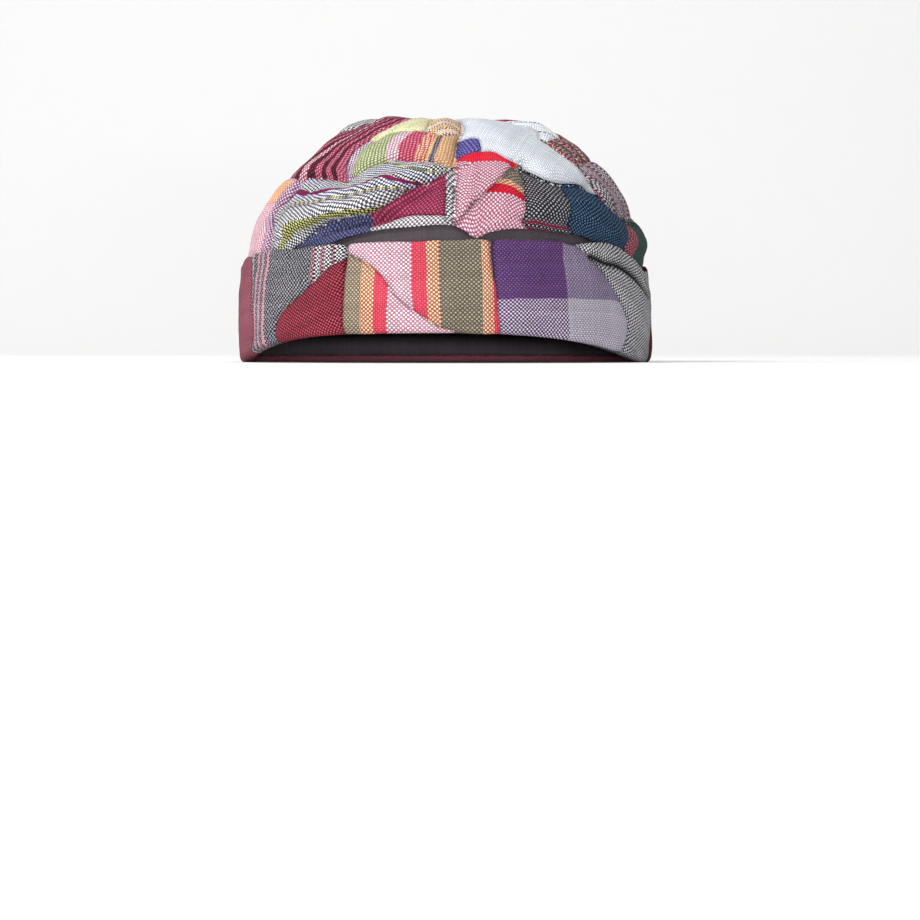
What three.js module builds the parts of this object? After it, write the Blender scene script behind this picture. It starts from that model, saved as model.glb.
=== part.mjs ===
// A soft patchwork skullcap with a turned-up cuff, in millimetres. It rests on the fold of its cuff.
// The front faces -Y, +X is on the right as seen from the front, and the crown stands up along +Z.
// Angles go round the cap in degrees, from 0 at the front through 90 at +X to 180 at the back.

import * as THREE from 'three';

// Sizes of the cuff, whose outline is an ellipse. Insets are measured inwards from that outline.
const RIM_HALF_WIDTH = 94.3;
const RIM_HALF_LENGTH = 107;
const CUFF_HEIGHT = 43.5;
const FRONT_ARCH = 13;
const ARCH_MIDDLE = -6;
const ARCH_HALF_ANGLE = 85;

// The band that the crown is gathered onto, inside the cuff.
const BAND_INSET = 6.6;
const BAND_WALL = 1.5;
const BAND_OVERLAP = 1.2;
const SEAT_GAP = 0.3;

// The crown's cloth, its slouch to the back and right, and its lower seam, tucked behind the cuff.
const CROWN_WALL = 1.8;
const SEAM_TUCK = 2;
const SEAM_FADE_LEVEL = 0.5;
const SEAM_FLAT_LEVEL = 0.025;
const SEAM_FREE_LEVEL = 0.1;
const BACKWARD_SLOUCH = 4;
const SIDEWAYS_SLOUCH = 0.8;
const SLOUCHED_LEVEL = 0.25;
const GATHERS = 14;
const GATHER_DEPTH = 1.1;
const GATHER_LEVEL = 0.09;
const OVERHANG_GROWN = 0.35;
const OVERHANG_FADES = 0.75;

// The crown is described as it is seen from the front, from this height and distance.
const SIGHT_HEIGHT = 8;
const SIGHT_DISTANCE = 1600;

// The cuff's swells grow from its foot to a little over half its height.
const SWELL_START = 3;
const SWELL_FULL = 25;
const CUFF_FOOT = 2.7;

// How finely the surfaces are divided. Columns crowd towards the front, where most folds are.
const CROWN_COLUMNS = 88;
const CROWN_ROWS = 24;
const CUFF_COLUMNS = 72;
const FRONT_CROWDING = 0.28;
const SPLINE_STEPS = 6;
const PROBE = 0.4;
const SEARCH_STEPS = 24;
const HIGHEST_SEEN = 0.95;
const SIDE_LIMIT = 0.999;

const RAD = Math.PI / 180;

// The crown's smooth form from its lower seam to its top, before folds: each row is a level ellipse.
const CROWN_SECTIONS = [
  { height: 42.0, halfWidth: 90.0, halfLength: 102.6 },
  { height: 48.5, halfWidth: 90.3, halfLength: 103.0 },
  { height: 57.0, halfWidth: 88.6, halfLength: 101.3 },
  { height: 66.0, halfWidth: 85.3, halfLength: 97.6 },
  { height: 75.0, halfWidth: 80.0, halfLength: 91.6 },
  { height: 84.0, halfWidth: 72.5, halfLength: 83.2 },
  { height: 92.0, halfWidth: 62.8, halfLength: 72.6 },
  { height: 99.5, halfWidth: 53.4, halfLength: 62.4 },
  { height: 105.0, halfWidth: 44.6, halfLength: 52.2 },
  { height: 108.3, halfWidth: 35.0, halfLength: 41.0 },
  { height: 110.0, halfWidth: 23.0, halfLength: 27.0 },
  { height: 110.8, halfWidth: 11.0, halfLength: 13.0 },
  { height: 111.0, halfWidth: 0.0, halfLength: 0.0 },
];

// How much of the band the crown's lower seam leaves bare above the cuff. It dips at one gather.
const BARE_BAND = [
  { angle: -42, bare: -SEAM_TUCK },
  { angle: -36, bare: -0.5 },
  { angle: -29, bare: 2.4 },
  { angle: -20, bare: 5.2 },
  { angle: -9.5, bare: 6.4 },
  { angle: 0.5, bare: 6.8 },
  { angle: 5, bare: 4.6 },
  { angle: 8.5, bare: 0.6 },
  { angle: 12, bare: 2.8 },
  { angle: 18, bare: 4.6 },
  { angle: 27, bare: 4.8 },
  { angle: 36, bare: 4.2 },
  { angle: 42, bare: 3.0 },
  { angle: 47, bare: 0.4 },
  { angle: 54, bare: -SEAM_TUCK },
];

// The cuff's cross-section, a J whose foot is folded in under the band.
const CUFF_SECTION = [
  { inset: 6.0, rise: 0.0 },
  { inset: 2.2, rise: 0.0 },
  { inset: 0.9, rise: 0.9 },
  { inset: 0.3, rise: 3.0 },
  { inset: 0.0, rise: 9.0 },
  { inset: 0.0, rise: 24.0 },
  { inset: 0.5, rise: 35.0 },
  { inset: 1.0, rise: 41.5 },
  { inset: 1.6, rise: 43.1 },
  { inset: 2.4, rise: 43.5 },
  { inset: 3.1, rise: 42.4 },
  { inset: 3.2, rise: 37.0 },
  { inset: 3.1, rise: 24.0 },
  { inset: 3.1, rise: 7.0 },
  { inset: 4.0, rise: 2.7 },
  { inset: 7.8, rise: 2.6 },
  { inset: 7.8, rise: 0.8 },
];

// Broad swells and dips round the cuff: outward push, and change of the top edge's height.
const CUFF_SWELLS = [
  { angle: -72, spread: 10, outward: 0.6, taller: 1.2 },
  { angle: -44, spread: 12, outward: -0.6, taller: -1.2 },
  { angle: -14, spread: 46, outward: 0.0, taller: -4.6 },
  { angle: 4, spread: 16, outward: 0.4, taller: 0.4 },
  { angle: 38, spread: 12, outward: -0.5, taller: -0.5 },
  { angle: 52, spread: 12, outward: 0.0, taller: 3.2 },
  { angle: 66, spread: 9, outward: 0.7, taller: 0.0 },
  { angle: 78, spread: 10, outward: 0.0, taller: -3.0 },
  { angle: 104, spread: 14, outward: -0.5, taller: 0.8 },
  { angle: 150, spread: 14, outward: 0.5, taller: -0.8 },
  { angle: 196, spread: 13, outward: -0.5, taller: 0.6 },
  { angle: 240, spread: 12, outward: 0.5, taller: -0.6 },
];

// Smooth interpolation in a table, between rows placed along the rising numbers in places.
function readTable(rows, places, column, at) {
  let i = 0;
  while (i < rows.length - 2 && at > places[i + 1]) i += 1;
  const span = places[i + 1] - places[i];
  const t = THREE.MathUtils.clamp((at - places[i]) / span, 0, 1);
  const slope = (k) => {
    const before = Math.max(k - 1, 0);
    const after = Math.min(k + 1, rows.length - 1);
    return (rows[after][column] - rows[before][column]) / (places[after] - places[before]);
  };
  const a = rows[i][column];
  const b = rows[i + 1][column];
  const rise = t * t * (3 - 2 * t);
  const leave = t * (1 - t) * (1 - t);
  const arrive = t * t * (1 - t);
  return a + (b - a) * rise + span * (slope(i) * leave - slope(i + 1) * arrive);
}

// Distances up the crown's side along its own surface, and the whole of it, called its reach.
function distancesUp(rows) {
  const places = [0];
  for (let i = 1; i < rows.length; i += 1) {
    const run = rows[i].halfWidth - rows[i - 1].halfWidth;
    const rise = rows[i].height - rows[i - 1].height;
    places.push(places[i - 1] + Math.hypot(run, rise));
  }
  return places;
}

const BARE_ANGLES = BARE_BAND.map(({ angle }) => angle);
const SECTION_PLACES = distancesUp(CROWN_SECTIONS);
const REACH = SECTION_PLACES[SECTION_PLACES.length - 1];

function wrap(angle) {
  return angle - 360 * Math.round(angle / 360);
}

function bump(value, middle, spread) {
  const off = wrap(value - middle) / spread;
  return Math.exp(-off * off);
}

// How high the front is lifted. The lift fades to nothing at the sides.
function archAt(angle) {
  const t = Math.min(Math.abs(wrap(angle - ARCH_MIDDLE)) / ARCH_HALF_ANGLE, 1);
  return FRONT_ARCH * (1 - t ** 3) ** 2;
}

function cuffTop(angle) {
  return CUFF_SWELLS.reduce(
    (height, swell) => height + swell.taller * bump(angle, swell.angle, swell.spread),
    CUFF_HEIGHT,
  );
}

function seamHeight(angle, arch) {
  return cuffTop(angle) + arch + readTable(BARE_BAND, BARE_ANGLES, 'bare', wrap(angle));
}

// The crown's smooth form. Level runs from 0 at the lower seam to 1 at the top.
function crownForm(angle, level, arch) {
  const at = level * REACH;
  const halfWidth = readTable(CROWN_SECTIONS, SECTION_PLACES, 'halfWidth', at);
  const halfLength = readTable(CROWN_SECTIONS, SECTION_PLACES, 'halfLength', at);
  const height = readTable(CROWN_SECTIONS, SECTION_PLACES, 'height', at);
  const fade = Math.max(0, 1 - level / SEAM_FADE_LEVEL) ** 2;
  const slouched = THREE.MathUtils.smoothstep(level, 0, SLOUCHED_LEVEL);
  return new THREE.Vector3(
    halfWidth * Math.sin(angle * RAD) + SIDEWAYS_SLOUCH * slouched,
    -halfLength * Math.cos(angle * RAD) + BACKWARD_SLOUCH * level,
    height + (seamHeight(angle, arch) - CROWN_SECTIONS[0].height) * fade,
  );
}

// A flat chart of the crown in millimetres: its top is the middle, and its seam is a circle.
function onChart(angle, level) {
  const out = (1 - level) * REACH;
  return new THREE.Vector2(out * Math.sin(angle * RAD), -out * Math.cos(angle * RAD));
}

function offChart(place) {
  return {
    angle: Math.atan2(place.x, -place.y) / RAD,
    level: THREE.MathUtils.clamp(1 - place.length() / REACH, 0, 1),
  };
}

// The chart's place of a point that is seen from the front: across to the right, and up.
function seen(across, up) {
  let low = 0;
  let high = HIGHEST_SEEN;
  let angle = 0;
  let nearer = 1;
  for (let i = 0; i < SEARCH_STEPS; i += 1) {
    const level = (low + high) / 2;
    const halfWidth = readTable(CROWN_SECTIONS, SECTION_PLACES, 'halfWidth', level * REACH);
    const sideways = (across / nearer - SIDEWAYS_SLOUCH) / halfWidth;
    angle = Math.asin(THREE.MathUtils.clamp(sideways, -SIDE_LIMIT, SIDE_LIMIT)) / RAD;
    const point = crownForm(angle, level, archAt(angle));
    nearer = SIGHT_DISTANCE / (SIGHT_DISTANCE + point.y);
    if (SIGHT_HEIGHT + (point.z - SIGHT_HEIGHT) * nearer < up) low = level;
    else high = level;
  }
  return onChart(angle, (low + high) / 2);
}

// The crown's folds. Each runs along its path, left to right or upwards, and its height in
// millimetres goes from start through middle to end. Above and below are its spreads to the
// left and right of the way it runs, and drop is how far its crest hangs over what is below, which
// grows from one end and fades towards the other.
const FOLDS = [
  {
    name: 'big front roll',
    path: [
      seen(-70, 60), seen(-60, 64.5), seen(-50, 69), seen(-40, 70), seen(-31, 73), seen(-22, 79.5),
      seen(-10, 85.5), seen(1, 89),
    ],
    start: 5, middle: 8, end: 2, above: 13, below: 6, drop: 3.5,
  },
  {
    name: 'hollow under the roll',
    path: [seen(-50, 61), seen(-38, 62), seen(-28, 66), seen(-18, 72), seen(-4, 79)],
    start: -2, middle: -3.5, end: -1.5, above: 5, below: 9, drop: 0,
  },
  {
    name: 'crease left of the roll',
    path: [seen(-79, 54.5), seen(-77.5, 66), seen(-75, 73), seen(-69, 80), seen(-61, 84.5), seen(-48, 84)],
    start: -3, middle: -3, end: -2, above: 5, below: 5, drop: 0,
  },
  {
    name: 'left side puff',
    path: [onChart(-84, 0.04), onChart(-82, 0.16), onChart(-74, 0.32)],
    start: -2, middle: 0.5, end: 1, above: 10, below: 9, drop: 0,
  },
  {
    name: 'dark left ridge',
    path: [seen(-67, 85), seen(-56, 94), seen(-47, 102), seen(-39, 108.5), onChart(-40, 0.72)],
    start: 0.8, middle: 3.2, end: 1.8, above: 9, below: 9, drop: 0,
  },
  {
    name: 'crease beside the dark ridge',
    path: [seen(-46.5, 83.5), seen(-45.5, 90), seen(-42.5, 95), seen(-32.5, 105), seen(-22, 110)],
    start: -2.5, middle: -2.5, end: -1.5, above: 5, below: 6, drop: 0,
  },
  {
    name: 'upper left gore',
    path: [seen(-31, 90), seen(-22, 99), seen(-10, 106)],
    start: 1, middle: 1.8, end: 1, above: 10, below: 10, drop: 0,
  },
  {
    name: 'front seam',
    path: [seen(4, 63), seen(4.5, 78), seen(5.5, 91), seen(7.5, 104), seen(7.8, 110)],
    start: -2, middle: -2, end: -2, above: 5, below: 5, drop: 0,
  },
  {
    name: 'fold across the pink patch',
    path: [seen(8, 64), seen(15, 73), seen(23, 82), seen(32, 91)],
    start: 1, middle: 2.4, end: 1, above: 6, below: 4, drop: 0,
  },
  {
    name: 'right seam between the rows',
    path: [
      seen(34, 91.5), seen(45, 85), seen(55.5, 82.5), seen(68.5, 78.5), seen(80.5, 68), onChart(88, 0.16),
    ],
    start: -2, middle: -2.5, end: -2, above: 5, below: 5, drop: 0,
  },
  {
    name: 'right lower roll',
    path: [seen(41, 70), seen(57.5, 70), seen(71, 65), seen(83, 57), onChart(96, 0.1)],
    start: 2, middle: 3.5, end: 3, above: 9, below: 9, drop: 1.5,
  },
  {
    name: 'pale right panel',
    path: [seen(16, 103), seen(39, 96), seen(60, 85)],
    start: 1, middle: 2.2, end: 1.5, above: 14, below: 14, drop: 0,
  },
  {
    name: 'crease behind the pale panel',
    path: [onChart(62, 0.82), seen(42.5, 104.5), seen(53, 96.5), seen(65, 86), seen(68.5, 80)],
    start: -1.5, middle: -2.5, end: -2, above: 5, below: 5, drop: 0,
  },
  {
    name: 'right outer ridge',
    path: [onChart(84, 0.76), onChart(80, 0.62), onChart(76, 0.46), onChart(80, 0.3)],
    start: 2, middle: 3.2, end: 1.5, above: 8, below: 8, drop: 0,
  },
  {
    name: 'right seam of the pink patch',
    path: [seen(36, 61.5), seen(37, 71.5), seen(36.5, 81), seen(34.5, 90.5)],
    start: -1.5, middle: -1.8, end: -1.5, above: 5, below: 5, drop: 0,
  },
  {
    name: 'lower roll at the back',
    path: [
      onChart(112, 0.16), onChart(140, 0.24), onChart(168, 0.19), onChart(196, 0.25), onChart(224, 0.17),
    ],
    start: 2, middle: 5, end: 3, above: 12, below: 7, drop: 2.5,
  },
  {
    name: 'upper roll at the back',
    path: [onChart(146, 0.52), onChart(176, 0.47), onChart(206, 0.53), onChart(232, 0.48)],
    start: 2, middle: 3.5, end: 2, above: 12, below: 9, drop: 1,
  },
  {
    name: 'left back crease',
    path: [onChart(232, 0.06), onChart(240, 0.25), onChart(246, 0.42)],
    start: -2, middle: -3, end: -1.5, above: 6, below: 6, drop: 0,
  },
  {
    name: 'right back crease',
    path: [onChart(112, 0.42), onChart(118, 0.58), onChart(132, 0.72)],
    start: -1.5, middle: -2.5, end: -1.5, above: 6, below: 6, drop: 0,
  },
  {
    name: 'back seam',
    path: [onChart(184, 0.03), onChart(182, 0.4), onChart(180, 0.9)],
    start: -1.5, middle: -2, end: -1.5, above: 5, below: 5, drop: 0,
  },
];

for (const fold of FOLDS) {
  fold.line = new THREE.SplineCurve(fold.path).getPoints(fold.path.length * SPLINE_STEPS);
}

// The nearest place of a fold's line: how far it is, on which side, and how far along the line.
function beside(line, place) {
  let best = { away: Infinity, side: 1, along: 0 };
  for (let i = 0; i + 1 < line.length; i += 1) {
    const run = line[i + 1].clone().sub(line[i]);
    const from = place.clone().sub(line[i]);
    const t = THREE.MathUtils.clamp(from.dot(run) / run.lengthSq(), 0, 1);
    const away = from.clone().addScaledVector(run, -t).length();
    if (away < best.away) {
      best = { away, side: Math.sign(run.cross(from)) || 1, along: (i + t) / (line.length - 1) };
    }
  }
  return best;
}

function heightAlong(fold, along) {
  const half = along < 0.5 ? fold.start : fold.end;
  const t = Math.abs(2 * along - 1);
  return fold.middle + (half - fold.middle) * t * t;
}

// What the folds and gathers do at a place of the chart: push out, and slide towards the seam.
function foldAt(place) {
  const { angle, level } = offChart(place);
  let push = GATHER_DEPTH * Math.exp(-level / GATHER_LEVEL) * (Math.cos(GATHERS * angle * RAD) - 1) / 2;
  let slide = 0;
  for (const fold of FOLDS) {
    const { away, side, along } = beside(fold.line, place);
    const spread = side > 0 ? fold.above : fold.below;
    const share = Math.exp(-((away / spread) ** 2));
    push += heightAlong(fold, along) * share;
    const grown = THREE.MathUtils.smoothstep(along, 0, OVERHANG_GROWN);
    const faded = THREE.MathUtils.smoothstep(along, OVERHANG_FADES, 1);
    slide += fold.drop * share * grown * (1 - faded);
  }
  const nearSeam = THREE.MathUtils.smoothstep(level, SEAM_FLAT_LEVEL, SEAM_FREE_LEVEL);
  return { push: push * nearSeam, slide: slide * nearSeam };
}

function formAt(x, y) {
  const { angle, level } = offChart(new THREE.Vector2(x, y));
  return crownForm(angle, level, archAt(angle));
}

function acrossSurface(surface, x, y) {
  const alongX = surface(x + PROBE, y).sub(surface(x - PROBE, y));
  const alongY = surface(x, y + PROBE).sub(surface(x, y - PROBE));
  return alongX.cross(alongY).normalize();
}

// The crown's outer surface above a place of the chart, with its folds.
function crownOuter(x, y) {
  const place = new THREE.Vector2(x, y);
  const { push, slide } = foldAt(place);
  const out = place.length();
  const slid = Math.min(out + slide, REACH);
  const moved = out > 0 ? place.multiplyScalar(slid / out) : place;
  const inside = moved.clone().multiplyScalar(Math.min(1, (REACH - 2 * PROBE) / Math.max(slid, 1)));
  return formAt(moved.x, moved.y).addScaledVector(acrossSurface(formAt, inside.x, inside.y), push);
}

function crownInner(x, y) {
  const keep = Math.min(1, (REACH - 2 * PROBE) / Math.max(Math.hypot(x, y), 1));
  const normal = acrossSurface(crownOuter, x * keep, y * keep);
  return crownOuter(x, y).addScaledVector(normal, -CROWN_WALL);
}

function columnAngle(column, columns) {
  const even = 2 * Math.PI * (column / columns) - Math.PI;
  return (even - FRONT_CROWDING * Math.sin(even)) / RAD;
}

// A closed mesh round the Z axis from a profile of points for each column. The profile either
// closes on itself, or starts and ends at a single point on the axis.
function roundMesh(columns, profileAt, closesOnItself) {
  const profiles = Array.from({ length: columns }, (_, c) => profileAt(columnAngle(c, columns)));
  const count = profiles[0].length;
  const poles = closesOnItself ? 0 : 1;
  const points = profiles.flatMap((profile) => profile.slice(poles, count - poles));
  const rows = count - 2 * poles;
  const index = [];
  for (let c = 0; c < columns; c += 1) {
    const here = c * rows;
    const next = ((c + 1) % columns) * rows;
    for (let r = 0; r < (closesOnItself ? rows : rows - 1); r += 1) {
      const up = (r + 1) % rows;
      index.push(here + r, next + r, next + up, here + r, next + up, here + up);
    }
    if (!closesOnItself) {
      index.push(points.length, next, here);
      index.push(points.length + 1, here + rows - 1, next + rows - 1);
    }
  }
  if (!closesOnItself) points.push(profiles[0][0], profiles[0][count - 1]);
  const geometry = new THREE.BufferGeometry().setFromPoints(points);
  geometry.setIndex(index);
  geometry.computeVertexNormals();
  return geometry;
}

// A point of the rim's outline, moved inwards by an inset.
function rimPoint(angle, inset, height) {
  return new THREE.Vector3(
    (RIM_HALF_WIDTH - inset) * Math.sin(angle * RAD),
    -(RIM_HALF_LENGTH - inset) * Math.cos(angle * RAD),
    height,
  );
}

function cuffProfile(angle) {
  const stretch = cuffTop(angle) / CUFF_HEIGHT;
  return CUFF_SECTION.map(({ inset, rise }) => {
    const upper = THREE.MathUtils.smoothstep(rise, SWELL_START, SWELL_FULL);
    const outward = CUFF_SWELLS.reduce(
      (sum, swell) => sum + swell.outward * bump(angle, swell.angle, swell.spread) * upper,
      0,
    );
    return rimPoint(angle, inset - outward, archAt(angle) + rise * stretch);
  });
}

function bandProfile(angle) {
  const foot = archAt(angle) + CUFF_FOOT + SEAT_GAP;
  const top = seamHeight(angle, archAt(angle)) + BAND_OVERLAP;
  return [
    rimPoint(angle, BAND_INSET, foot),
    rimPoint(angle, BAND_INSET, (foot + top) / 2),
    rimPoint(angle, BAND_INSET, top),
    rimPoint(angle, BAND_INSET + BAND_WALL, top),
    rimPoint(angle, BAND_INSET + BAND_WALL, (foot + top) / 2),
    rimPoint(angle, BAND_INSET + BAND_WALL, foot),
  ];
}

function crownProfile(angle) {
  const places = Array.from({ length: CROWN_ROWS + 1 }, (_, r) => onChart(angle, 1 - r / CROWN_ROWS));
  const outer = places.map(({ x, y }) => crownOuter(x, y));
  const inner = places.map(({ x, y }) => crownInner(x, y));
  return inner.concat(outer.reverse());
}

function piece(name, geometry, colour, roughness) {
  const material = new THREE.MeshStandardMaterial({ color: colour, roughness, metalness: 0 });
  const mesh = new THREE.Mesh(geometry, material);
  mesh.name = name;
  return mesh;
}

const cap = new THREE.Group();
cap.add(piece('crown', roundMesh(CROWN_COLUMNS, crownProfile, false), '#b9a4b4', 0.9));
cap.add(piece('band', roundMesh(CUFF_COLUMNS, bandProfile, true), '#3f383c', 0.95));
cap.add(piece('cuff', roundMesh(CUFF_COLUMNS, cuffProfile, true), '#a3616c', 0.9));

export default cap;
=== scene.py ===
# The looks of a soft patchwork skullcap with a turned-up cuff. It rests on the fold of its cuff.
# Sizes are in millimetres until a mesh is made. The front faces -Y and the crown stands up
# along +Z. Angles go round the cap in degrees, from 0 at the front through 90 at +X.

import math

import bpy
import numpy as np
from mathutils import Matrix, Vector, kdtree, noise
from mathutils.geometry import delaunay_2d_cdt


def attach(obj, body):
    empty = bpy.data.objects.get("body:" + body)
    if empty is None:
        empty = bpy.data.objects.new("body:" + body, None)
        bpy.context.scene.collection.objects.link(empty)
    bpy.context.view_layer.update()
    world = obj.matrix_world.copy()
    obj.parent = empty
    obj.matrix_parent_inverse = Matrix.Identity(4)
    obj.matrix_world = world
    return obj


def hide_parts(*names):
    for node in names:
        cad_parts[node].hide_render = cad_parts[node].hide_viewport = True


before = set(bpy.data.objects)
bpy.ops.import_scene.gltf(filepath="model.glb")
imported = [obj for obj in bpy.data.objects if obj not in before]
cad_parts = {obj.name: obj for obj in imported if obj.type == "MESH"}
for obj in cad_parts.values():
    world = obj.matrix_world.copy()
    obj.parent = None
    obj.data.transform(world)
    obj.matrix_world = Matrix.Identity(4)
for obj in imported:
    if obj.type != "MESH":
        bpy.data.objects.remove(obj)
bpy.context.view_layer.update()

MM = 0.001

# Sizes of the cuff, whose outline is an ellipse. Insets are measured inwards from that outline.
RIM_HALF_WIDTH = 94.3
RIM_HALF_LENGTH = 107.0
CUFF_HEIGHT = 43.5
FRONT_ARCH = 13.0
ARCH_MIDDLE = -6.0
ARCH_HALF_ANGLE = 85.0
SWELL_START = 3.0
SWELL_FULL = 25.0
CUFF_FOOT = 2.7

# The band that the crown is gathered onto, inside the cuff.
BAND_INSET = 6.6
BAND_WALL = 1.5
BAND_OVERLAP = 1.2
SEAT_GAP = 0.3

# The crown's cloth, its slouch to the back and right, and its gathered lower seam.
CROWN_WALL = 1.8
SEAM_TUCK = 2.0
SEAM_FADE_LEVEL = 0.5
SEAM_FLAT_LEVEL = 0.025
SEAM_FREE_LEVEL = 0.1
BACKWARD_SLOUCH = 4.0
SIDEWAYS_SLOUCH = 0.8
SLOUCHED_LEVEL = 0.25
GATHERS = 14
GATHER_DEPTH = 1.1
GATHER_LEVEL = 0.09

# The crown is described as it is seen from the front, from this height and distance.
SIGHT_HEIGHT = 8.0
SIGHT_DISTANCE = 1600.0
HIGHEST_SEEN = 0.95
SIDE_LIMIT = 0.999
SEARCH_STEPS = 24
PIN_STEPS = 8
PIN_SHARE = 0.7
PROBE = 0.4
SPLINE_STEPS = 6
OVERHANG_GROWN = 0.35
OVERHANG_FADES = 0.75

# How finely the cloth is cut up, and the rows of points beside its seams.
FINE = 1.08
COARSE = 2.6
RING_POINTS = 400
SEAM_STEP = 0.9
SEAM_ROWS = (0.55, 1.3)
ROW_GAP = 0.45
CREASE_GAP = SEAM_STEP * 0.6
FILL_GAP = FINE * 0.7
BORDER_GAP = 0.2
CUT_TOLERANCE = 1e-5
TINY = 1e-6


def table(columns, *rows):
    """The rows of a table as dictionaries. A row may leave out the last columns."""
    return [dict(zip(columns.split(), row)) for row in rows]


CROWN_SECTIONS = table(
    "height half_width half_length",
    (42.0, 90.0, 102.6), (48.5, 90.3, 103.0), (57.0, 88.6, 101.3), (66.0, 85.3, 97.6), (75.0, 80.0, 91.6),
    (84.0, 72.5, 83.2), (92.0, 62.8, 72.6), (99.5, 53.4, 62.4), (105.0, 44.6, 52.2), (108.3, 35.0, 41.0),
    (110.0, 23.0, 27.0), (110.8, 11.0, 13.0), (111.0, 0.0, 0.0),
)

BARE_BAND = table(
    "angle bare",
    (-42, -SEAM_TUCK), (-36, -0.5), (-29, 2.4), (-20, 5.2), (-9.5, 6.4), (0.5, 6.8), (5, 4.6), (8.5, 0.6),
    (12, 2.8), (18, 4.6), (27, 4.8), (36, 4.2), (42, 3.0), (47, 0.4), (54, -SEAM_TUCK),
)

CUFF_SECTION = table(
    "inset rise",
    (6.0, 0.0), (2.2, 0.0), (0.9, 0.9), (0.3, 3.0), (0.0, 9.0), (0.0, 24.0), (0.5, 35.0), (1.0, 41.5),
    (1.6, 43.1), (2.4, 43.5), (3.1, 42.4), (3.2, 37.0), (3.1, 24.0), (3.1, 7.0), (4.0, 2.7), (7.8, 2.6),
    (7.8, 0.8), (6.0, 0.0),
)

CUFF_SWELLS = table(
    "angle spread outward taller",
    (-72, 10, 0.6, 1.2), (-44, 12, -0.6, -1.2), (-14, 46, 0.0, -4.6), (4, 16, 0.4, 0.4),
    (38, 12, -0.5, -0.5), (52, 12, 0.0, 3.2), (66, 9, 0.7, 0.0), (78, 10, 0.0, -3.0), (104, 14, -0.5, 0.8),
    (150, 14, 0.5, -0.8), (196, 13, -0.5, 0.6), (240, 12, 0.5, -0.6),
)


# Smooth interpolation in tables, and smooth steps and bells

def column_of(rows, column):
    return np.array([row[column] for row in rows], float)


def read_table(rows, column, places, at):
    """A table's column at any places, when its rows lie at the given ones."""
    values = column_of(rows, column)
    last = len(rows) - 1
    order = np.arange(last + 1)
    before, after = np.maximum(order - 1, 0), np.minimum(order + 1, last)
    slopes = (values[after] - values[before]) / (places[after] - places[before])
    i = np.searchsorted(places[1:-1], at)
    span = places[i + 1] - places[i]
    t = np.clip((at - places[i]) / span, 0, 1)
    rise = t * t * (3 - 2 * t)
    leave = t * (1 - t) * (1 - t)
    arrive = t * t * (1 - t)
    level = values[i] + (values[i + 1] - values[i]) * rise
    return level + span * (slopes[i] * leave - slopes[i + 1] * arrive)


def distances(*columns):
    steps = np.sqrt(sum(np.diff(column) ** 2 for column in columns))
    return np.concatenate([[0], np.cumsum(steps)])


SECTION_PLACES = distances(column_of(CROWN_SECTIONS, "half_width"), column_of(CROWN_SECTIONS, "height"))
REACH = SECTION_PLACES[-1]
LOWEST = CROWN_SECTIONS[0]["height"]
CUFF_PLACES = distances(column_of(CUFF_SECTION, "inset"), column_of(CUFF_SECTION, "rise"))
CUFF_GIRTH = CUFF_PLACES[-1]


def wrapped(angle):
    return angle - 360 * np.round(np.asarray(angle) / 360)


def bell(away, spread):
    return np.exp(-((away / spread) ** 2))


def bump(angle, middle, spread):
    return bell(wrapped(angle - middle), spread)


def smooth_step(value, low, high):
    t = np.clip((value - low) / (high - low), 0, 1)
    return t * t * (3 - 2 * t)


def arch_at(angle):
    t = np.minimum(np.abs(wrapped(angle - ARCH_MIDDLE)) / ARCH_HALF_ANGLE, 1)
    return FRONT_ARCH * (1 - t ** 3) ** 2


def cuff_top(angle):
    swells = sum(s["taller"] * bump(angle, s["angle"], s["spread"]) for s in CUFF_SWELLS)
    return CUFF_HEIGHT + swells


def seam_height(angle):
    bare = read_table(BARE_BAND, "bare", column_of(BARE_BAND, "angle"), wrapped(angle))
    return cuff_top(angle) + arch_at(angle) + bare


# The crown's smooth form. Level runs from 0 at the lower seam to 1 at the top.

def crown_size(column, level):
    return read_table(CROWN_SECTIONS, column, SECTION_PLACES, level * REACH)


def seam_pull(level):
    """The share of the lower seam's rise that the cloth above it follows."""
    return np.maximum(0, 1 - level / SEAM_FADE_LEVEL) ** 2


def crown_form(angle, level):
    turned = np.radians(angle)
    sideways = SIDEWAYS_SLOUCH * smooth_step(level, 0, SLOUCHED_LEVEL)
    return np.column_stack([
        crown_size("half_width", level) * np.sin(turned) + sideways,
        -crown_size("half_length", level) * np.cos(turned) + BACKWARD_SLOUCH * level,
        crown_size("height", level) + (seam_height(angle) - LOWEST) * seam_pull(level),
    ])


# A flat chart of the crown in millimetres: its top is the middle, and its seam is a circle.

def on_chart(angle, level):
    out = (1 - np.asarray(level)) * REACH
    turned = np.radians(angle)
    return np.column_stack([out * np.sin(turned), -out * np.cos(turned)])


def off_chart(places):
    angle = np.degrees(np.arctan2(places[:, 0], -places[:, 1]))
    level = np.clip(1 - np.hypot(places[:, 0], places[:, 1]) / REACH, 0, 1)
    return angle, level


def nearness(back):
    """How much larger things look at a distance behind the middle than at the middle."""
    return SIGHT_DISTANCE / (SIGHT_DISTANCE + back)


def shown(points):
    """Where points are seen from the front: across to the right, and up."""
    nearer = nearness(points[:, 1])
    return np.column_stack([points[:, 0] * nearer, SIGHT_HEIGHT + (points[:, 2] - SIGHT_HEIGHT) * nearer])


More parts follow.
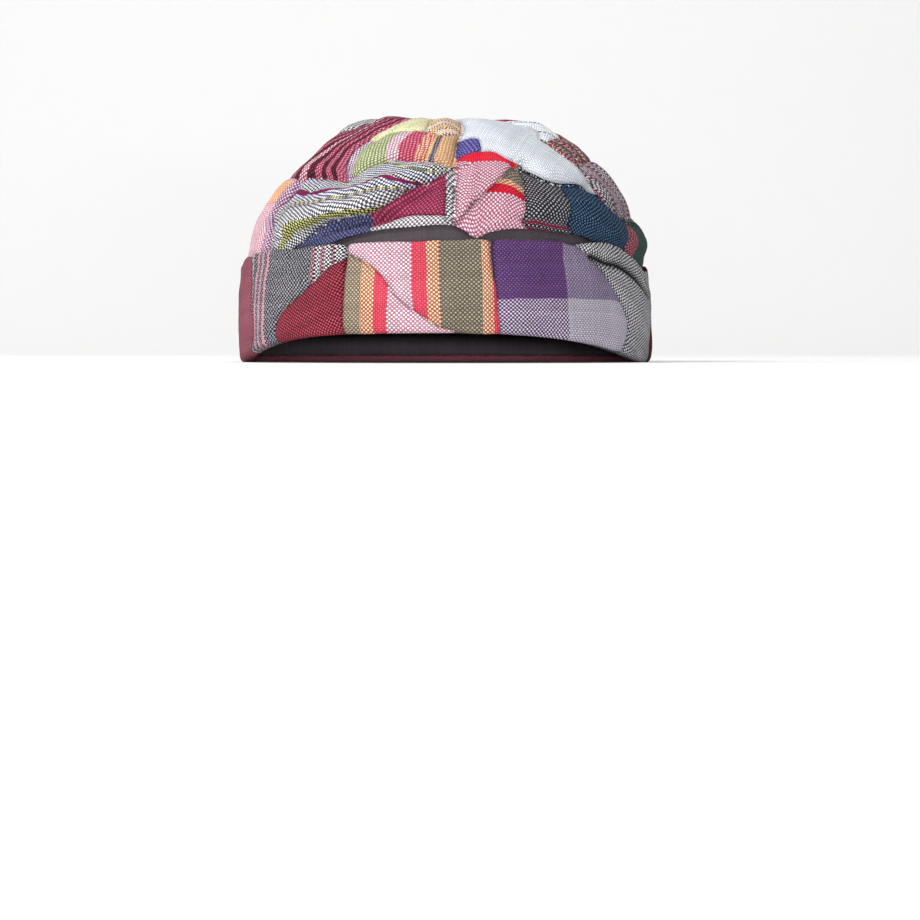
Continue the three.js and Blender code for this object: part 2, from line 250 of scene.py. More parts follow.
def seen(places):
    """The chart's places of points that are seen from the front, before folds."""
    across, up = np.asarray(places, float).T
    low, high = np.zeros(len(up)), np.full(len(up), HIGHEST_SEEN)
    nearer = np.ones(len(up))
    for _ in range(SEARCH_STEPS):
        level = (low + high) / 2
        sideways = (across / nearer - SIDEWAYS_SLOUCH) / crown_size("half_width", level)
        angle = np.degrees(np.arcsin(np.clip(sideways, -SIDE_LIMIT, SIDE_LIMIT)))
        points = crown_form(angle, level)
        nearer = nearness(points[:, 1])
        too_low = shown(points)[:, 1] < up
        low, high = np.where(too_low, level, low), np.where(too_low, high, level)
    return on_chart(angle, (low + high) / 2)


# Folds run along their path. Heights in millimetres go from start through middle to end, above
# and below are the spreads to the left and right of the path, and drop is the crest's overhang,
# which grows from one end and fades towards the other.

def front(*places):
    return list(seen(places))


def side(*places):
    return list(on_chart(*np.array(places, float).T))


FOLDS = table(
    "name start middle end above below drop path",
    ("big front roll", 5, 8, 2, 13, 4.6, 5.5, front((-70, 60), (-60, 64.5), (-50, 69), (-40, 70), (-31, 73),
     (-22, 79.5), (-10, 85.5), (1, 89))),
    ("hollow under the roll", -2, -3.5, -1.5, 5, 9, 0, front((-50, 61), (-38, 62), (-28, 66), (-18, 72),
     (-4, 79))),
    ("crease left of the roll", -3, -3, -2, 5, 5, 0, front((-79, 54.5), (-77.5, 66), (-75, 73), (-69, 80),
     (-61, 84.5), (-48, 84))),
    ("left side puff", -2, 0.5, 1, 10, 9, 0, side((-84, 0.04), (-82, 0.16), (-74, 0.32))),
    ("dark left ridge", 0.8, 3.2, 1.8, 9, 9, 0, [*front((-67, 85), (-56, 94), (-47, 102), (-39, 108.5)),
     *side((-40, 0.72))]),
    ("crease beside the dark ridge", -2.5, -2.5, -1.5, 5, 6, 0, front((-46.5, 83.5), (-45.5, 90),
     (-42.5, 95), (-32.5, 105), (-22, 110))),
    ("upper left gore", 1, 1.8, 1, 10, 10, 0, front((-31, 90), (-22, 99), (-10, 106))),
    ("front seam", -2, -2, -2, 5, 5, 0, front((4, 63), (4.5, 78), (5.5, 91), (7.5, 104), (7.8, 110))),
    ("fold across the pink patch", 1, 2.4, 1, 6, 4, 0, front((8, 64), (15, 73), (23, 82), (32, 91))),
    ("right seam between the rows", -2, -2.5, -2, 5, 5, 0, [*front((34, 91.5), (45, 85), (55.5, 82.5),
     (68.5, 78.5), (80.5, 68)), *side((88, 0.16))]),
    ("right lower roll", 2, 3.5, 3, 9, 9, 1.5, [*front((41, 70), (57.5, 70), (71, 65), (83, 57)),
     *side((96, 0.1))]),
    ("pale right panel", 1, 2.2, 1.5, 14, 14, 0, front((16, 103), (39, 96), (60, 85))),
    ("crease behind the pale panel", -1.5, -2.5, -2, 5, 5, 0, [*side((62, 0.82)), *front((42.5, 104.5),
     (53, 96.5), (65, 86), (68.5, 80))]),
    ("right outer ridge", 2, 3.2, 1.5, 8, 8, 0, side((84, 0.76), (80, 0.62), (76, 0.46), (80, 0.3))),
    ("right seam of the pink patch", -1.5, -1.8, -1.5, 5, 5, 0, front((36, 61.5), (37, 71.5), (36.5, 81),
     (34.5, 90.5))),
    ("lower roll at the back", 2, 5, 3, 12, 7, 2.5, side((112, 0.16), (140, 0.24), (168, 0.19), (196, 0.25),
     (224, 0.17))),
    ("upper roll at the back", 2, 3.5, 2, 12, 9, 1, side((146, 0.52), (176, 0.47), (206, 0.53),
     (232, 0.48))),
    ("left back crease", -2, -3, -1.5, 6, 6, 0, side((232, 0.06), (240, 0.25), (246, 0.42))),
    ("right back crease", -1.5, -2.5, -1.5, 6, 6, 0, side((112, 0.42), (118, 0.58), (132, 0.72))),
    ("back seam", -1.5, -2, -1.5, 5, 5, 0, side((184, 0.03), (182, 0.4), (180, 0.9))),
)


def spline(points, steps=SPLINE_STEPS):
    """A smooth line through points, with a fixed number of steps from each to the next."""
    points = np.asarray(points, float)
    last = len(points) - 1
    at = np.linspace(0, last, last * steps + 1)
    i = np.minimum(at.astype(int), last - 1)
    t = (at - i)[:, None]
    a, b = points[np.maximum(i - 1, 0)], points[i]
    c, d = points[i + 1], points[np.minimum(i + 2, last)]
    leave, arrive = (c - a) / 2, (d - b) / 2
    rise = t * t * (3 - 2 * t)
    return b + (c - b) * rise + leave * t * (1 - t) ** 2 - arrive * t * t * (1 - t)


def evenly(line, step):
    """The same line with points about one step apart."""
    places = distances(*line.T)
    count = max(2, int(round(places[-1] / step)) + 1)
    at = np.linspace(0, places[-1], count)
    return np.column_stack([np.interp(at, places, column) for column in line.T])


def beside(line, places):
    """How far places are from a line, on which side of it, and how far along it, from 0 to 1."""
    starts, runs = line[:-1], np.diff(line, axis=0)
    from_x = places[:, 0, None] - starts[None, :, 0]
    from_y = places[:, 1, None] - starts[None, :, 1]
    t = np.clip((from_x * runs[:, 0] + from_y * runs[:, 1]) / (runs ** 2).sum(1), 0, 1)
    away = (from_x - t * runs[:, 0]) ** 2 + (from_y - t * runs[:, 1]) ** 2
    best = away.argmin(1)
    row = np.arange(len(places))
    turn = runs[best, 0] * from_y[row, best] - runs[best, 1] * from_x[row, best]
    along = (best + t[row, best]) / len(runs)
    return np.sqrt(away[row, best]), np.where(turn >= 0, 1, -1), along


for fold in FOLDS:
    fold["line"] = spline(fold["path"])


def fold_at(places):
    """What folds and gathers do at places of the chart: push out, and slide towards the seam."""
    angle, level = off_chart(places)
    push = GATHER_DEPTH * np.exp(-level / GATHER_LEVEL) * (np.cos(GATHERS * np.radians(angle)) - 1) / 2
    slide = np.zeros(len(places))
    for fold in FOLDS:
        away, turn, along = beside(fold["line"], places)
        spread = np.where(turn > 0, fold["above"], fold["below"])
        share = bell(away, spread)
        half = np.where(along < 0.5, fold["start"], fold["end"])
        push += (fold["middle"] + (half - fold["middle"]) * (2 * along - 1) ** 2) * share
        hanging = smooth_step(along, 0, OVERHANG_GROWN) * (1 - smooth_step(along, OVERHANG_FADES, 1))
        slide += fold["drop"] * share * hanging
    near_seam = smooth_step(level, SEAM_FLAT_LEVEL, SEAM_FREE_LEVEL)
    return push * near_seam, slide * near_seam


def form_at(places):
    return crown_form(*off_chart(places))


def form_normal(places):
    step_x, step_y = np.array([PROBE, 0]), np.array([0, PROBE])
    along_x = form_at(places + step_x) - form_at(places - step_x)
    along_y = form_at(places + step_y) - form_at(places - step_y)
    normal = np.cross(along_x, along_y)
    return normal / np.linalg.norm(normal, axis=1)[:, None]


def crown_cloth(places):
    """The crown's outer surface above places of the chart, with its folds."""
    push, slide = fold_at(places)
    out = np.maximum(np.hypot(*places.T), TINY)
    slid = np.minimum(out + slide, REACH)
    moved = places * (slid / out)[:, None]
    inside = moved * np.minimum(1, (REACH - 2 * PROBE) / np.maximum(slid, 1))[:, None]
    return form_at(moved) + form_normal(inside) * push[:, None]


def pinned(*places):
    """Places of the chart whose points on the folded cloth are seen at the given places."""
    target = np.array(places, float)
    aim = target.copy()
    for _ in range(PIN_STEPS):
        chart = seen(aim)
        aim += PIN_SHARE * (target - shown(crown_cloth(chart)))
    return list(seen(aim))


def left_of(line):
    """Unit steps to the left of the way that a line runs."""
    run = np.gradient(line, axis=0)
    return np.column_stack([-run[:, 1], run[:, 0]]) / np.maximum(np.linalg.norm(run, axis=1), TINY)[:, None]


def beside_fold(name, offset, start, end):
    """A line beside part of a fold's path, at an offset to the left of the way that it runs."""
    line = next(fold["line"] for fold in FOLDS if fold["name"] == name)
    last = len(line) - 1
    kept = slice(int(start * last), int(end * last) + 1, SPLINE_STEPS // 2)
    return list((line + left_of(line) * offset)[kept])


# Cutting a flat sheet into fine triangles along its seams

def grid(low, high, step):
    """A hexagonal grid of points over a rectangle."""
    row_step = step * math.sqrt(3) / 2
    rows = np.arange(low[1], high[1], row_step)
    columns = np.arange(low[0], high[0], step)
    x, y = np.meshgrid(columns, rows)
    x = x + (np.arange(len(rows)) % 2)[:, None] * step / 2
    return np.column_stack([x.ravel(), y.ravel()])


def nearest_of(others, points):
    """The number of the other point that is nearest to each point, and how far away it is."""
    tree = kdtree.KDTree(len(others))
    for i, other in enumerate(others.tolist()):
        tree.insert((*other, 0)[:3], i)
    tree.balance()
    found = [tree.find((*point, 0)[:3]) for point in points.tolist()]
    return np.array([f[1] for f in found], int), np.array([f[2] for f in found])


def clear_of(points, others, gap):
    return points[nearest_of(others, points)[1] > gap]


def inside_border(points, border):
    """Which points lie inside a convex border that runs either way round."""
    ahead = np.roll(border, -1, axis=0) - border
    off_x = points[:, 0, None] - border[None, :, 0]
    off_y = points[:, 1, None] - border[None, :, 1]
    turn = ahead[None, :, 0] * off_y - ahead[None, :, 1] * off_x
    return (turn > BORDER_GAP).all(1) | (turn < -BORDER_GAP).all(1)


def cut_sheet(border, seams, fillings, creases=()):
    """Triangles over the inside of a closed border, cut along seams and filled with points."""
    points = [border]
    count = len(border)
    edges = [(i, (i + 1) % count) for i in range(count)]
    for line in seams:
        numbers = []
        for place, nearest, away in zip(line, *nearest_of(border, line)):
            if away < FINE:
                numbers.append(nearest)
                continue
            points.append(place[None])
            numbers.append(count)
            count += 1
        edges += [(a, b) for a, b in zip(numbers, numbers[1:]) if a != b]
    kept = np.concatenate(points)
    for line in creases:
        kept = np.concatenate([kept, clear_of(line, kept, CREASE_GAP)])
    for aside in SEAM_ROWS:
        for line in [*seams, *creases]:
            rows = np.concatenate([line + left_of(line) * aside, line - left_of(line) * aside])
            rows = rows[inside_border(rows, border)]
            kept = np.concatenate([kept, clear_of(rows, kept, ROW_GAP)])
    everything = np.concatenate([kept, clear_of(fillings, kept, FILL_GAP)])
    made = delaunay_2d_cdt([Vector(p) for p in everything], edges, [], 0, CUT_TOLERANCE, True)
    places = np.array([tuple(p) for p in made[0]])
    triangles = np.array([tuple(f) for f in made[2]])
    fixed = {tuple(sorted(edge)) for edge, source in zip(made[1], made[4]) if source}
    return places, triangles, fixed


def edge_table(triangles):
    """Each inner edge once, with the triangles on its two sides."""
    edges = [triangles[:, [0, 1]], triangles[:, [1, 2]], triangles[:, [2, 0]]]
    pairs = np.sort(np.concatenate(edges), axis=1)
    owners = np.tile(np.arange(len(triangles)), 3)
    order = np.lexsort((pairs[:, 1], pairs[:, 0]))
    pairs, owners = pairs[order], owners[order]
    same = np.flatnonzero((pairs[1:] == pairs[:-1]).all(1))
    return pairs[same], owners[same], owners[same + 1]


def label_patches(places, triangles, fixed, patches):
    """Each triangle's patch, flooded from the patches' seeds up to the seams, and the seams' edges."""
    pairs, left, right = edge_table(triangles)
    is_fixed = np.array([(a, b) in fixed for a, b in pairs.tolist()])
    centres = places[triangles].mean(1)
    labels = np.full(len(triangles), -1)
    for number, patch in enumerate(patches):
        labels[np.hypot(*(centres - patch["seed"][0]).T).argmin()] = number
    for barred in (is_fixed, np.zeros(len(pairs), bool)):
        a, b = left[~barred], right[~barred]
        while True:
            to_b = (labels[a] >= 0) & (labels[b] < 0)
            to_a = (labels[b] >= 0) & (labels[a] < 0)
            if not (to_b.any() or to_a.any()):
                break
            labels[b[to_b]] = labels[a[to_b]]
            labels[a[to_a]] = labels[b[to_a]]
    return labels, pairs[labels[left] != labels[right]]


def woven(patches, labels, corners, weave):
    """Where the corners of each triangle lie in its patch's cloth: for threads, and for stripes."""
    threads, stripes = np.zeros(corners.shape), np.zeros(corners.shape)
    for number, patch in enumerate(patches):
        rows = labels == number
        found = weave(patch, corners[rows].reshape(-1, 2))
        threads[rows], stripes[rows] = (part.reshape(-1, 3, 2) for part in found)
    return threads, stripes


def surface_normals(points, triangles):
    a, b, c = (points[triangles[:, i]] for i in range(3))
    flat = np.cross(b - a, c - a)
    total = np.zeros_like(points)
    for i in range(3):
        np.add.at(total, triangles[:, i], flat)
    return total / np.linalg.norm(total, axis=1)[:, None]


def ripple(points, size, shift=0.0):
    """Smooth noise from about -1 to 1, whose waves are as long as the size."""
    moved = Vector((shift, shift * RIPPLE_SKEW, -shift))
    return np.array([noise.noise(Vector(p) / size + moved) for p in points.tolist()])


def seam_relief(points, seam_pairs):
    """Distance from each point to its nearest seam, and that seam's nearest point."""
    middles = points[seam_pairs].mean(1)
    number, away = nearest_of(middles, points)
    return away, middles[number]


# Deeper creases along seams of the crown. One with a side sinks the cloth on that side of the
# seam alone: 1 for the left of the way that the seam runs, -1 for its right.
# The shade column is painted shade: the share by which a crease darkens the cloth's colour at its middle, for
# the shadow in the crease and under the roll's lip.
CROWN_CREASES = table(
    "seam side depth width shade",
    ("seam under the roll", -1, 3.2, 4.0, 0.75),
    ("row seam over the roll", 1, 1.6, 2.6, 0.35),
    ("row seam at the right", -1, 1.6, 2.4, 0.5),
    ("fold seam of the pink patch", 1, 1.3, 2.4, 0.45),
    ("centre seam", 0, 0.6, 1.4, 0.2),
)
CREASE_EDGE = 0.6

# The relief that sewing and wear give to the cloth
GROOVE_DEPTH = 0.9
GROOVE_WIDTH = 0.9
PUFF_HEIGHT = 1.0
PUFF_REACH = 5.0
PUCKER_HEIGHT = 0.45
PUCKER_LENGTH = 3.4
WRINKLE_HEIGHT = 0.5
WRINKLE_LENGTH = 13.0
WRINKLE_SHIFT = 3.1
CRUMPLE_HEIGHT = 0.16
CRUMPLE_LENGTH = 4.5
CRUMPLE_SHIFT = 7.7
RIPPLE_SKEW = 1.7
FAR = 9.0


def relief(points, away, nearest):
    """How far sewn cloth stands off its smooth form: seam grooves, puckers, puffs and wrinkles."""
    groove = -GROOVE_DEPTH * bell(away, GROOVE_WIDTH)
    puff = PUFF_HEIGHT * (1 - bell(away, PUFF_REACH)) - PUFF_HEIGHT / 2
    near = np.exp(-away / PUFF_REACH) * (1 - bell(away, GROOVE_WIDTH))
    pucker = PUCKER_HEIGHT * near * ripple(nearest, PUCKER_LENGTH)
    wrinkles = WRINKLE_HEIGHT * ripple(points, WRINKLE_LENGTH, WRINKLE_SHIFT)
    crumples = CRUMPLE_HEIGHT * ripple(points, CRUMPLE_LENGTH, CRUMPLE_SHIFT)
    return groove + puff + pucker + wrinkles + crumples


# Seams of the crown, as paths on its chart

CROWN_SEAMS = {
    "row seam over the roll": [*side((-61.5, 0.0)), *pinned((-79.4, 60), (-78.4, 68.9), (-73.2, 75.3),
        (-66.8, 83), (-62.3, 85), (-52.6, 84.2), (-45.5, 83.6), (-41, 86.3), (-35.2, 89.9), (-30, 92.1),
        (-23.5, 93.4), (-13.9, 92.8), (-4.2, 92.4), (2.3, 90.5), (6, 89.8))],
    "left edge of the purple strip": [*side((-66, 0.0)), *pinned((-83, 60), (-81.6, 68), (-77, 76),
        (-71, 82.5)), *pinned((-65.5, 85.4))],
    "back of the left gore": side((-100, 0.0), (-99, 0.15), (-97, 0.3)),
    "row seam at the left side": [*pinned((-64.5, 84.4), (-68, 84)), *side((-86, 0.36), (-97, 0.33),
        (-115, 0.36), (-138, 0.4))],
    "back of the dark ridge": side((-90, 0.33), (-89, 0.45), (-84, 0.5), (-72, 0.55), (-64, 0.62),
        (-64, 0.68), (-70, 0.73), (-82, 0.78), (-94, 0.88), (-96, 1.0)),
    "back of the check strip": side((-102, 0.32), (-103, 0.45), (-104, 0.6), (-108, 0.8), (-110, 0.99)),
    "front of the dark ridge": [*pinned((-45.6, 82.6), (-45.2, 88), (-44.6, 92.5), (-41.6, 97.6),
        (-36.4, 101.2), (-30, 106.2), (-22.9, 109.6)), *side((-25, 0.9), (-20, 1.0))],
    "seam of the small top piece": [*side((-24, 0.93)), *pinned((-8.5, 108.4), (-7.5, 106.4), (-3, 105),
        (1, 104.8), (7.6, 104.9))],
    "centre seam": [*side((2.4, 0.0)), *pinned((4.1, 66), (4.6, 75.4), (4.8, 85), (5.0, 92), (5.5, 97),
        (6.0, 102), (7.6, 105.5), (7.9, 109.5)), *side((10, 0.9), (0, 1.0))],
    "left edge of the check strip": [*side((0.4, 0.0)), *pinned((0.9, 66), (1.0, 75), (1.2, 83), (1.6, 88),
        (2.5, 92))],
    "seam under the roll": [*side((-50.5, 0.0)), *beside_fold("big front roll", -6.3, 0.26, 0.9),
        *pinned((2.2, 87.2))],
    "top of the white border": [*pinned((-34.4, 61.6), (-30.5, 62.8), (-25.5, 65.2), (-20, 67.2),
        (-14.5, 68.2), (-7, 67.9), (1.1, 67.6))],
    "under the pale band": pinned((-35, 102.6), (-31, 101.9), (-26.5, 104.9), (-20.9, 106.3),
        (-15.4, 106.8), (-8, 106.6)),
    "between navy and wine": [*side((-20.5, 0.0)), *pinned((-34.2, 61), (-33.4, 64)),
        *beside_fold("big front roll", -4.6, 0.52, 0.56)],
    "top of the red strip": pinned((4.2, 93), (6.5, 95), (10.4, 96.6), (16.8, 97.3), (23.3, 97),
        (27.8, 94.7), (33.3, 92.1), (35, 90)),
    "sides of the violet patch": pinned((5.6, 102.6), (10, 103.2), (15.2, 103.1), (16.3, 100.5),
        (17, 96.6)),
    "fold seam of the pink patch": pinned((34, 91.6), (27.8, 87), (23.3, 82.4), (18.1, 78.4), (13.6, 74.1),
        (9.1, 68.9), (6.4, 65.4), (4.2, 63.4)),
    "right side of the pink patch": [*pinned((34.4, 91.2), (36.0, 84.4), (36.8, 76.6), (37, 69), (36, 64)),
        *side((23.3, 0.0))],
    "row seam at the right": [*pinned((34.2, 91.2), (39.4, 87.6), (44.6, 85), (49.1, 83.4), (54.3, 82.4),
        (62, 81.8), (69, 78.5), (76, 72), (81, 66.5)), *side((88, 0.19), (100, 0.26), (120, 0.34),
        (150, 0.4), (180, 0.38), (215, 0.41), (226, 0.4))],
    "between check and navy": [*pinned((53.8, 83.6), (56.8, 75.5), (58.2, 66), (57.8, 60)),
        *side((40.5, 0.0))],
    "back of the navy patch": [*pinned((82, 68), (84.5, 61), (85, 55), (84, 49)), *side((74, 0.0))],
    "back of the brown patch": side((98, 0.25), (100, 0.12), (101, 0.0)),
    "back of the pale panel": [*pinned((70.5, 77.2), (66.5, 82.5), (62, 89.5), (58.1, 92.8), (53.6, 96.6),
        (49.1, 99.9), (45, 103.2), (39, 106.5)), *side((52, 0.82), (40, 1.0))],
    "lower edge of the plaid": [*pinned((46, 102.5)), *side((72, 0.58), (84, 0.56), (90, 0.56))],
    "lower edge of the speckled bits": [*pinned((58.5, 92.5)), *side((72, 0.44), (84, 0.43), (92, 0.43))],
    "back of the right gores": side((104, 0.26), (98, 0.4), (91, 0.56), (80, 0.75), (60, 0.92), (40, 1.0)),
    "upper seam at 140": side((142, 0.38), (141, 0.6), (142, 0.8), (150, 1.0)),
    "upper seam at 185": side((186, 0.37), (184, 0.6), (182, 0.8), (180, 1.0)),
    "upper seam at 226": side((226, 0.41), (229, 0.6), (231, 0.8), (230, 1.0)),
    "row seam at the left back": side((222, 0.41), (232, 0.39), (246, 0.36)),
    "lower seam at 128": side((126, 0.0), (127, 0.2), (129, 0.37)),
    "lower seam at 160": side((158, 0.0), (159, 0.2), (161, 0.41)),
    "lower seam at 192": side((190, 0.0), (192, 0.2), (193, 0.4)),
    "lower seam at 222": side((221, 0.0), (222, 0.2), (223, 0.42)),
}

# Dyes and cloths

DYES = {
    "white": "#f8f6f8", "black": "#26252b", "cream": "#ffd9b4", "apricot": "#b85f49", "coral": "#d0485a",
    "rose": "#d28aa4", "olive": "#5a5d4b", "olive dot": "#ab9a8b", "green": "#7d8a4a", "leaf": "#dfe3bd",
    "mint": "#bfe0b4", "butter": "#f6efc0", "crimson": "#a82248", "red": "#c41c34", "scarlet": "#fa5c71",
    "pink white": "#fdeaf0", "pink": "#d9839c", "soft pink": "#cc7f96", "maroon": "#5a121d",
    "brick": "#ba5263", "wine": "#832a4a", "wine dot": "#bd5673", "plum": "#533163", "plum dot": "#77588c",
    "violet": "#48418d", "violet dot": "#847ebc", "lilac": "#cfc8d4", "navy": "#15223a", "teal": "#506e88",
    "dusk blue": "#3d4a86", "slate": "#4a4d5a", "sky": "#dbe6f6", "ice": "#ffffff", "charcoal": "#38373d",
    "silver": "#cdcbd0", "ash": "#9a979d", "orange": "#f0a884", "peach": "#f9cda4", "brown": "#33222a",
    "salmon": "#f2a0a2", "pearl": "#a2a0aa", "gold": "#e2b34e", "lime": "#dada8a", "forest": "#2f5a40",
    "rust": "#73303a", "sage": "#8fae8c", "band warp": "#756b71", "band weft": "#625a62",
    "faded maroon": "#894150", "faded brick": "#b57682", "frost": "#d9cfdf", "tweed": "#a9a7ae",
    "rosy": "#dfa3b2", "dusk": "#62475a", "ink": "#2f3557", "ink dot": "#73749c", "raspberry": "#b06078",
    "blush": "#fbd5e2", "poppy": "#ee2f44", "ridge red": "#a82c48", "haze": "#9b99a0", "chalk": "#dfdde1",
    "tan": "#d69c65", "moss": "#736a58", "moss dot": "#c4b09c",
}


def stripes_of(words):
    """The width and the dyes of each stripe that the words name."""
    parts = [stripe.split(" ", 1) for stripe in words.split(", ")] if words else []
    return [(float(width), *dyes.split("/")) for width, dyes in parts]


def cotton(warp, weft="", waver=0.3, pitch=1.0, cover=0.0, mottle=0.0):
    """A woven cloth: its stripes, how far threads stray and how wide they are, and how even it is."""
    return {"warp": stripes_of(warp), "weft": stripes_of(weft), "waver": waver, "pitch": pitch,
            "cover": cover, "mottle": mottle}


# The woven cloths. Warp stripes follow each other across a cloth and weft stripes up it, each with
# its width in millimetres and its dye, and both repeat. Where a cloth has no weft stripes, each warp
# stripe also names the dye that crosses it, after a slash.
CLOTHS = {
    "roll stripes": cotton(
        "8 black/white, 1 lime/slate, 9.7 black/white, 1.6 lime/slate, 3.8 black/white, "
        "3.8 dusk blue/white, 3.8 black/white, 2.6 crimson/plum, 2.4 dusk blue/white, 1.6 black/white, "
        "1.1 lime/slate, 1.5 plum/lilac, 5.2 slate/white, 0.9 black/white, 3.4 lime/black, 12 black/white",
        waver=0.25, pitch=0.92),
    "plum twill": cotton("4 plum dot/blush", pitch=0.9),
    "pink and orange": cotton("27 pink/pink white, 3 cream/pink, 9 orange/peach"),
    "maroon check": cotton("40 maroon/brick", pitch=0.95),
    "red and brown stripes": cotton(
        "2.2 brown/rust, 2.4 ridge red/blush, 2.1 brown/rust, 2.3 crimson/rose, 2.2 brown/rust, "
        "2.3 ridge red/rose, 2.1 brown/rust, 2.4 ridge red/blush, 2.2 brown/rust, 2.3 crimson/rose, "
        "2.1 brown/rust, 2.4 ridge red/rose, 2.1 brown/rust, 3.9 ridge red/rose", waver=0.4),
    "black and white": cotton("20 black/white"),
    "slate and white": cotton("20 slate/white"),
    "grey check": cotton("30 charcoal/silver", pitch=0.8),
    "garden stripes": cotton(
        "3.7 plum dot/pink white, 16.5 green/leaf, 5.6 soft pink/white, 6.9 red/rose, 2.8 cream/coral, "
        "2.3 red/cream, 1.2 cream/gold, 2.4 plum/ash, 9.1 cream/tan"),
    "pale yellow": cotton("6 butter/butter, 3 mint/butter", waver=0.4),
    "yellow and red check": cotton(
        "2.4 cream/butter, 1.6 white/crimson, 2 gold/cream, 1.4 crimson/white", waver=0.7, pitch=0.8),
    "navy and violet": cotton("20 ink/ink dot", pitch=0.9),
    "wine": cotton("40 wine/wine dot", waver=0.2),
    "white border": cotton("40 dusk/white", waver=0.2, cover=-0.2),
    "violet blue": cotton("20 violet/violet dot"),
    "pale blue": cotton("12 ice/sky", pitch=0.8),
    "pink with a red edge": cotton("12 poppy/poppy, 70 raspberry/blush"),
    "small stripes": cotton("4.6 poppy/red, 3.7 cream/apricot, 16 olive/olive dot, 50 raspberry/blush"),
    "sunset stripes": cotton(
        "6.2 scarlet/coral, 5.7 cream/apricot, 18.3 olive/olive dot, 5.1 cream/apricot, 6 scarlet/coral, "
        "46 soft pink/pink white", waver=0.22),
    "faded sunset stripes": cotton(
        "6 scarlet/coral, 6.4 cream/apricot, 18 moss/moss dot, 6 cream/apricot, 6 scarlet/coral, "
        "46 soft pink/pink white", waver=0.22),
    "black dots": cotton(
        "60 black/tweed, 1.2 crimson/black, 1.8 black/tweed, 1.2 crimson/black, 1.6 charcoal/haze",
        cover=0.38),
    "navy and teal": cotton("40 navy/teal", pitch=0.9, cover=0.2),
    "brown and pink": cotton("2.2 charcoal/silver, 9 rust/faded brick, 40 forest/slate", waver=0.4),
    "pale plaid": cotton("5 ice/sky, 1.2 dusk blue/sky, 4 ice/ice"),
    "speckled madras": cotton(
        "1.3 crimson/slate, 1 forest/rose, 0.8 butter/maroon, 1.4 maroon/pink, 1.2 slate/sage", waver=1.2),
    "slate and pink": cotton(
        "3 charcoal/silver, 1.2 salmon/plum, 2.2 slate/ash, 1.2 salmon/plum, 3 charcoal/silver", waver=0.5),
    "green stripes": cotton("14 forest/olive, 3 cream/olive, 9 teal/navy, 3 coral/olive"),
    "plum plaid": cotton("38 plum, 60 pearl", weft="20.8 frost, 40 plum dot", waver=0.25, pitch=0.9),
    "charcoal stripes": cotton(
        "3.7 charcoal/ash, 2 rosy/rosy, 2.9 charcoal/tweed, 2 rosy/rosy, 3.1 charcoal/tweed, "
        "2.1 rosy/rosy, 31.7 black/tweed, 2.2 rosy/charcoal, 3.3 black/white, 2.2 rosy/charcoal, "
        "3.4 black/white, 2.2 rosy/charcoal, 30 black/white", waver=0.5, mottle=0.3),
    "grey speckle": cotton("40 black/chalk", pitch=0.9, mottle=0.2),
    "maroon back": cotton("40 faded maroon/faded brick", pitch=0.8),
    "brown back": cotton("40 brown/rust"),
    "band twill": cotton("40 band warp/band weft", waver=0.2, pitch=0.5),
}

# The crown's patches. Threads run from the start toward another place. Stripes may share out the
# width between two seams, and lean by millimetres at given angles.
CROWN_PATCHES = table(
    "name cloth seed start toward between wide lean",
    ("grey roll", "roll stripes", pinned((-40, 75)), pinned((-40, 84)), pinned((-44, 72)),
     ("row seam over the roll", "seam under the roll"), 33.5, [(-70, 29.5), (-62.7, 27.5), (-55, 24.8),
     (-48.4, 22.0), (-42, 20.0), (-36, 19.2), (-30, 19.4), (-25, 19.0), (-19.2, 15.6), (-15.5, 12.0),
     (-11.9, 7.3), (-8.2, 1.5), (-2.2, -8.0)]),
    ("purple strip", "plum twill", pinned((-80.5, 66))),
    ("left gore", "pink and orange", side((-84, 0.15)), side((-80, 0.0)), side((-80, 0.2))),
    ("left back gore", "maroon check", side((-112, 0.15))),
    ("dark ridge", "red and brown stripes", pinned((-50, 92)), pinned((-57, 94)), pinned((-47, 88)),
     ("back of the dark ridge", "front of the dark ridge"), 33.0),
    ("check strip", "black and white", side((-92, 0.62))),
    ("left top gore", "grey check", side((-118, 0.6))),
    ("green gore", "garden stripes", pinned((-25, 99)), pinned((-35, 92)), pinned((-20, 88)),
     ("front of the dark ridge", "centre seam"), 50.5),
    ("pale band", "pale yellow", pinned((-20, 108.5))),
    ("top piece", "yellow and red check", pinned((0, 108)), pinned((0, 107)), pinned((2, 105.5))),
    ("selvage strip", "slate and white", pinned((2.8, 75))),
    ("navy tuck", "navy and violet", pinned((-48, 60))),
    ("wine patch", "wine", pinned((-10, 74)), pinned((-14, 68)), pinned((-4, 68))),
    ("white border", "white border", pinned((-12, 65)), pinned((-14, 65)), pinned((-4, 65.5))),
    ("violet patch", "violet blue", pinned((11, 99.5))),
    ("pale panel", "pale blue", pinned((40, 95)), pinned((30, 98)), pinned((42, 92))),
    ("pink patch", "pink with a red edge", pinned((11, 82)), pinned((14, 91.3)), pinned((14.4, 96))),
    ("small striped piece", "small stripes", pinned((28, 70)), pinned((28, 77.3)), pinned((28, 84))),
    ("dotted patch", "black dots", pinned((47, 75)), pinned((46, 65.6)), pinned((46.4, 72))),
    ("navy patch", "navy and teal", pinned((70, 68)), pinned((62, 72)), pinned((72, 66))),
    ("brown patch", "brown and pink", side((92, 0.12)), pinned((84.7, 57)), side((92, 0.12))),
    ("plaid", "pale plaid", side((60, 0.78))),
    ("speckled bits", "speckled madras", side((80, 0.5))),
    ("dark striped gore", "slate and pink", side((84, 0.34)), side((74, 0.34)), side((90, 0.4))),
    ("right back lower", "green stripes", side((113, 0.15))),
    ("back lower one", "sunset stripes", side((143, 0.2))),
    ("back lower two", "grey check", side((175, 0.2))),
    ("back lower three", "plum plaid", side((207, 0.2))),
    ("back lower four", "navy and teal", side((240, 0.2))),
    ("back upper one", "wine", side((120, 0.6))),
    ("back upper two", "pale plaid", side((162, 0.6))),
    ("back upper three", "garden stripes", side((207, 0.6))),
)


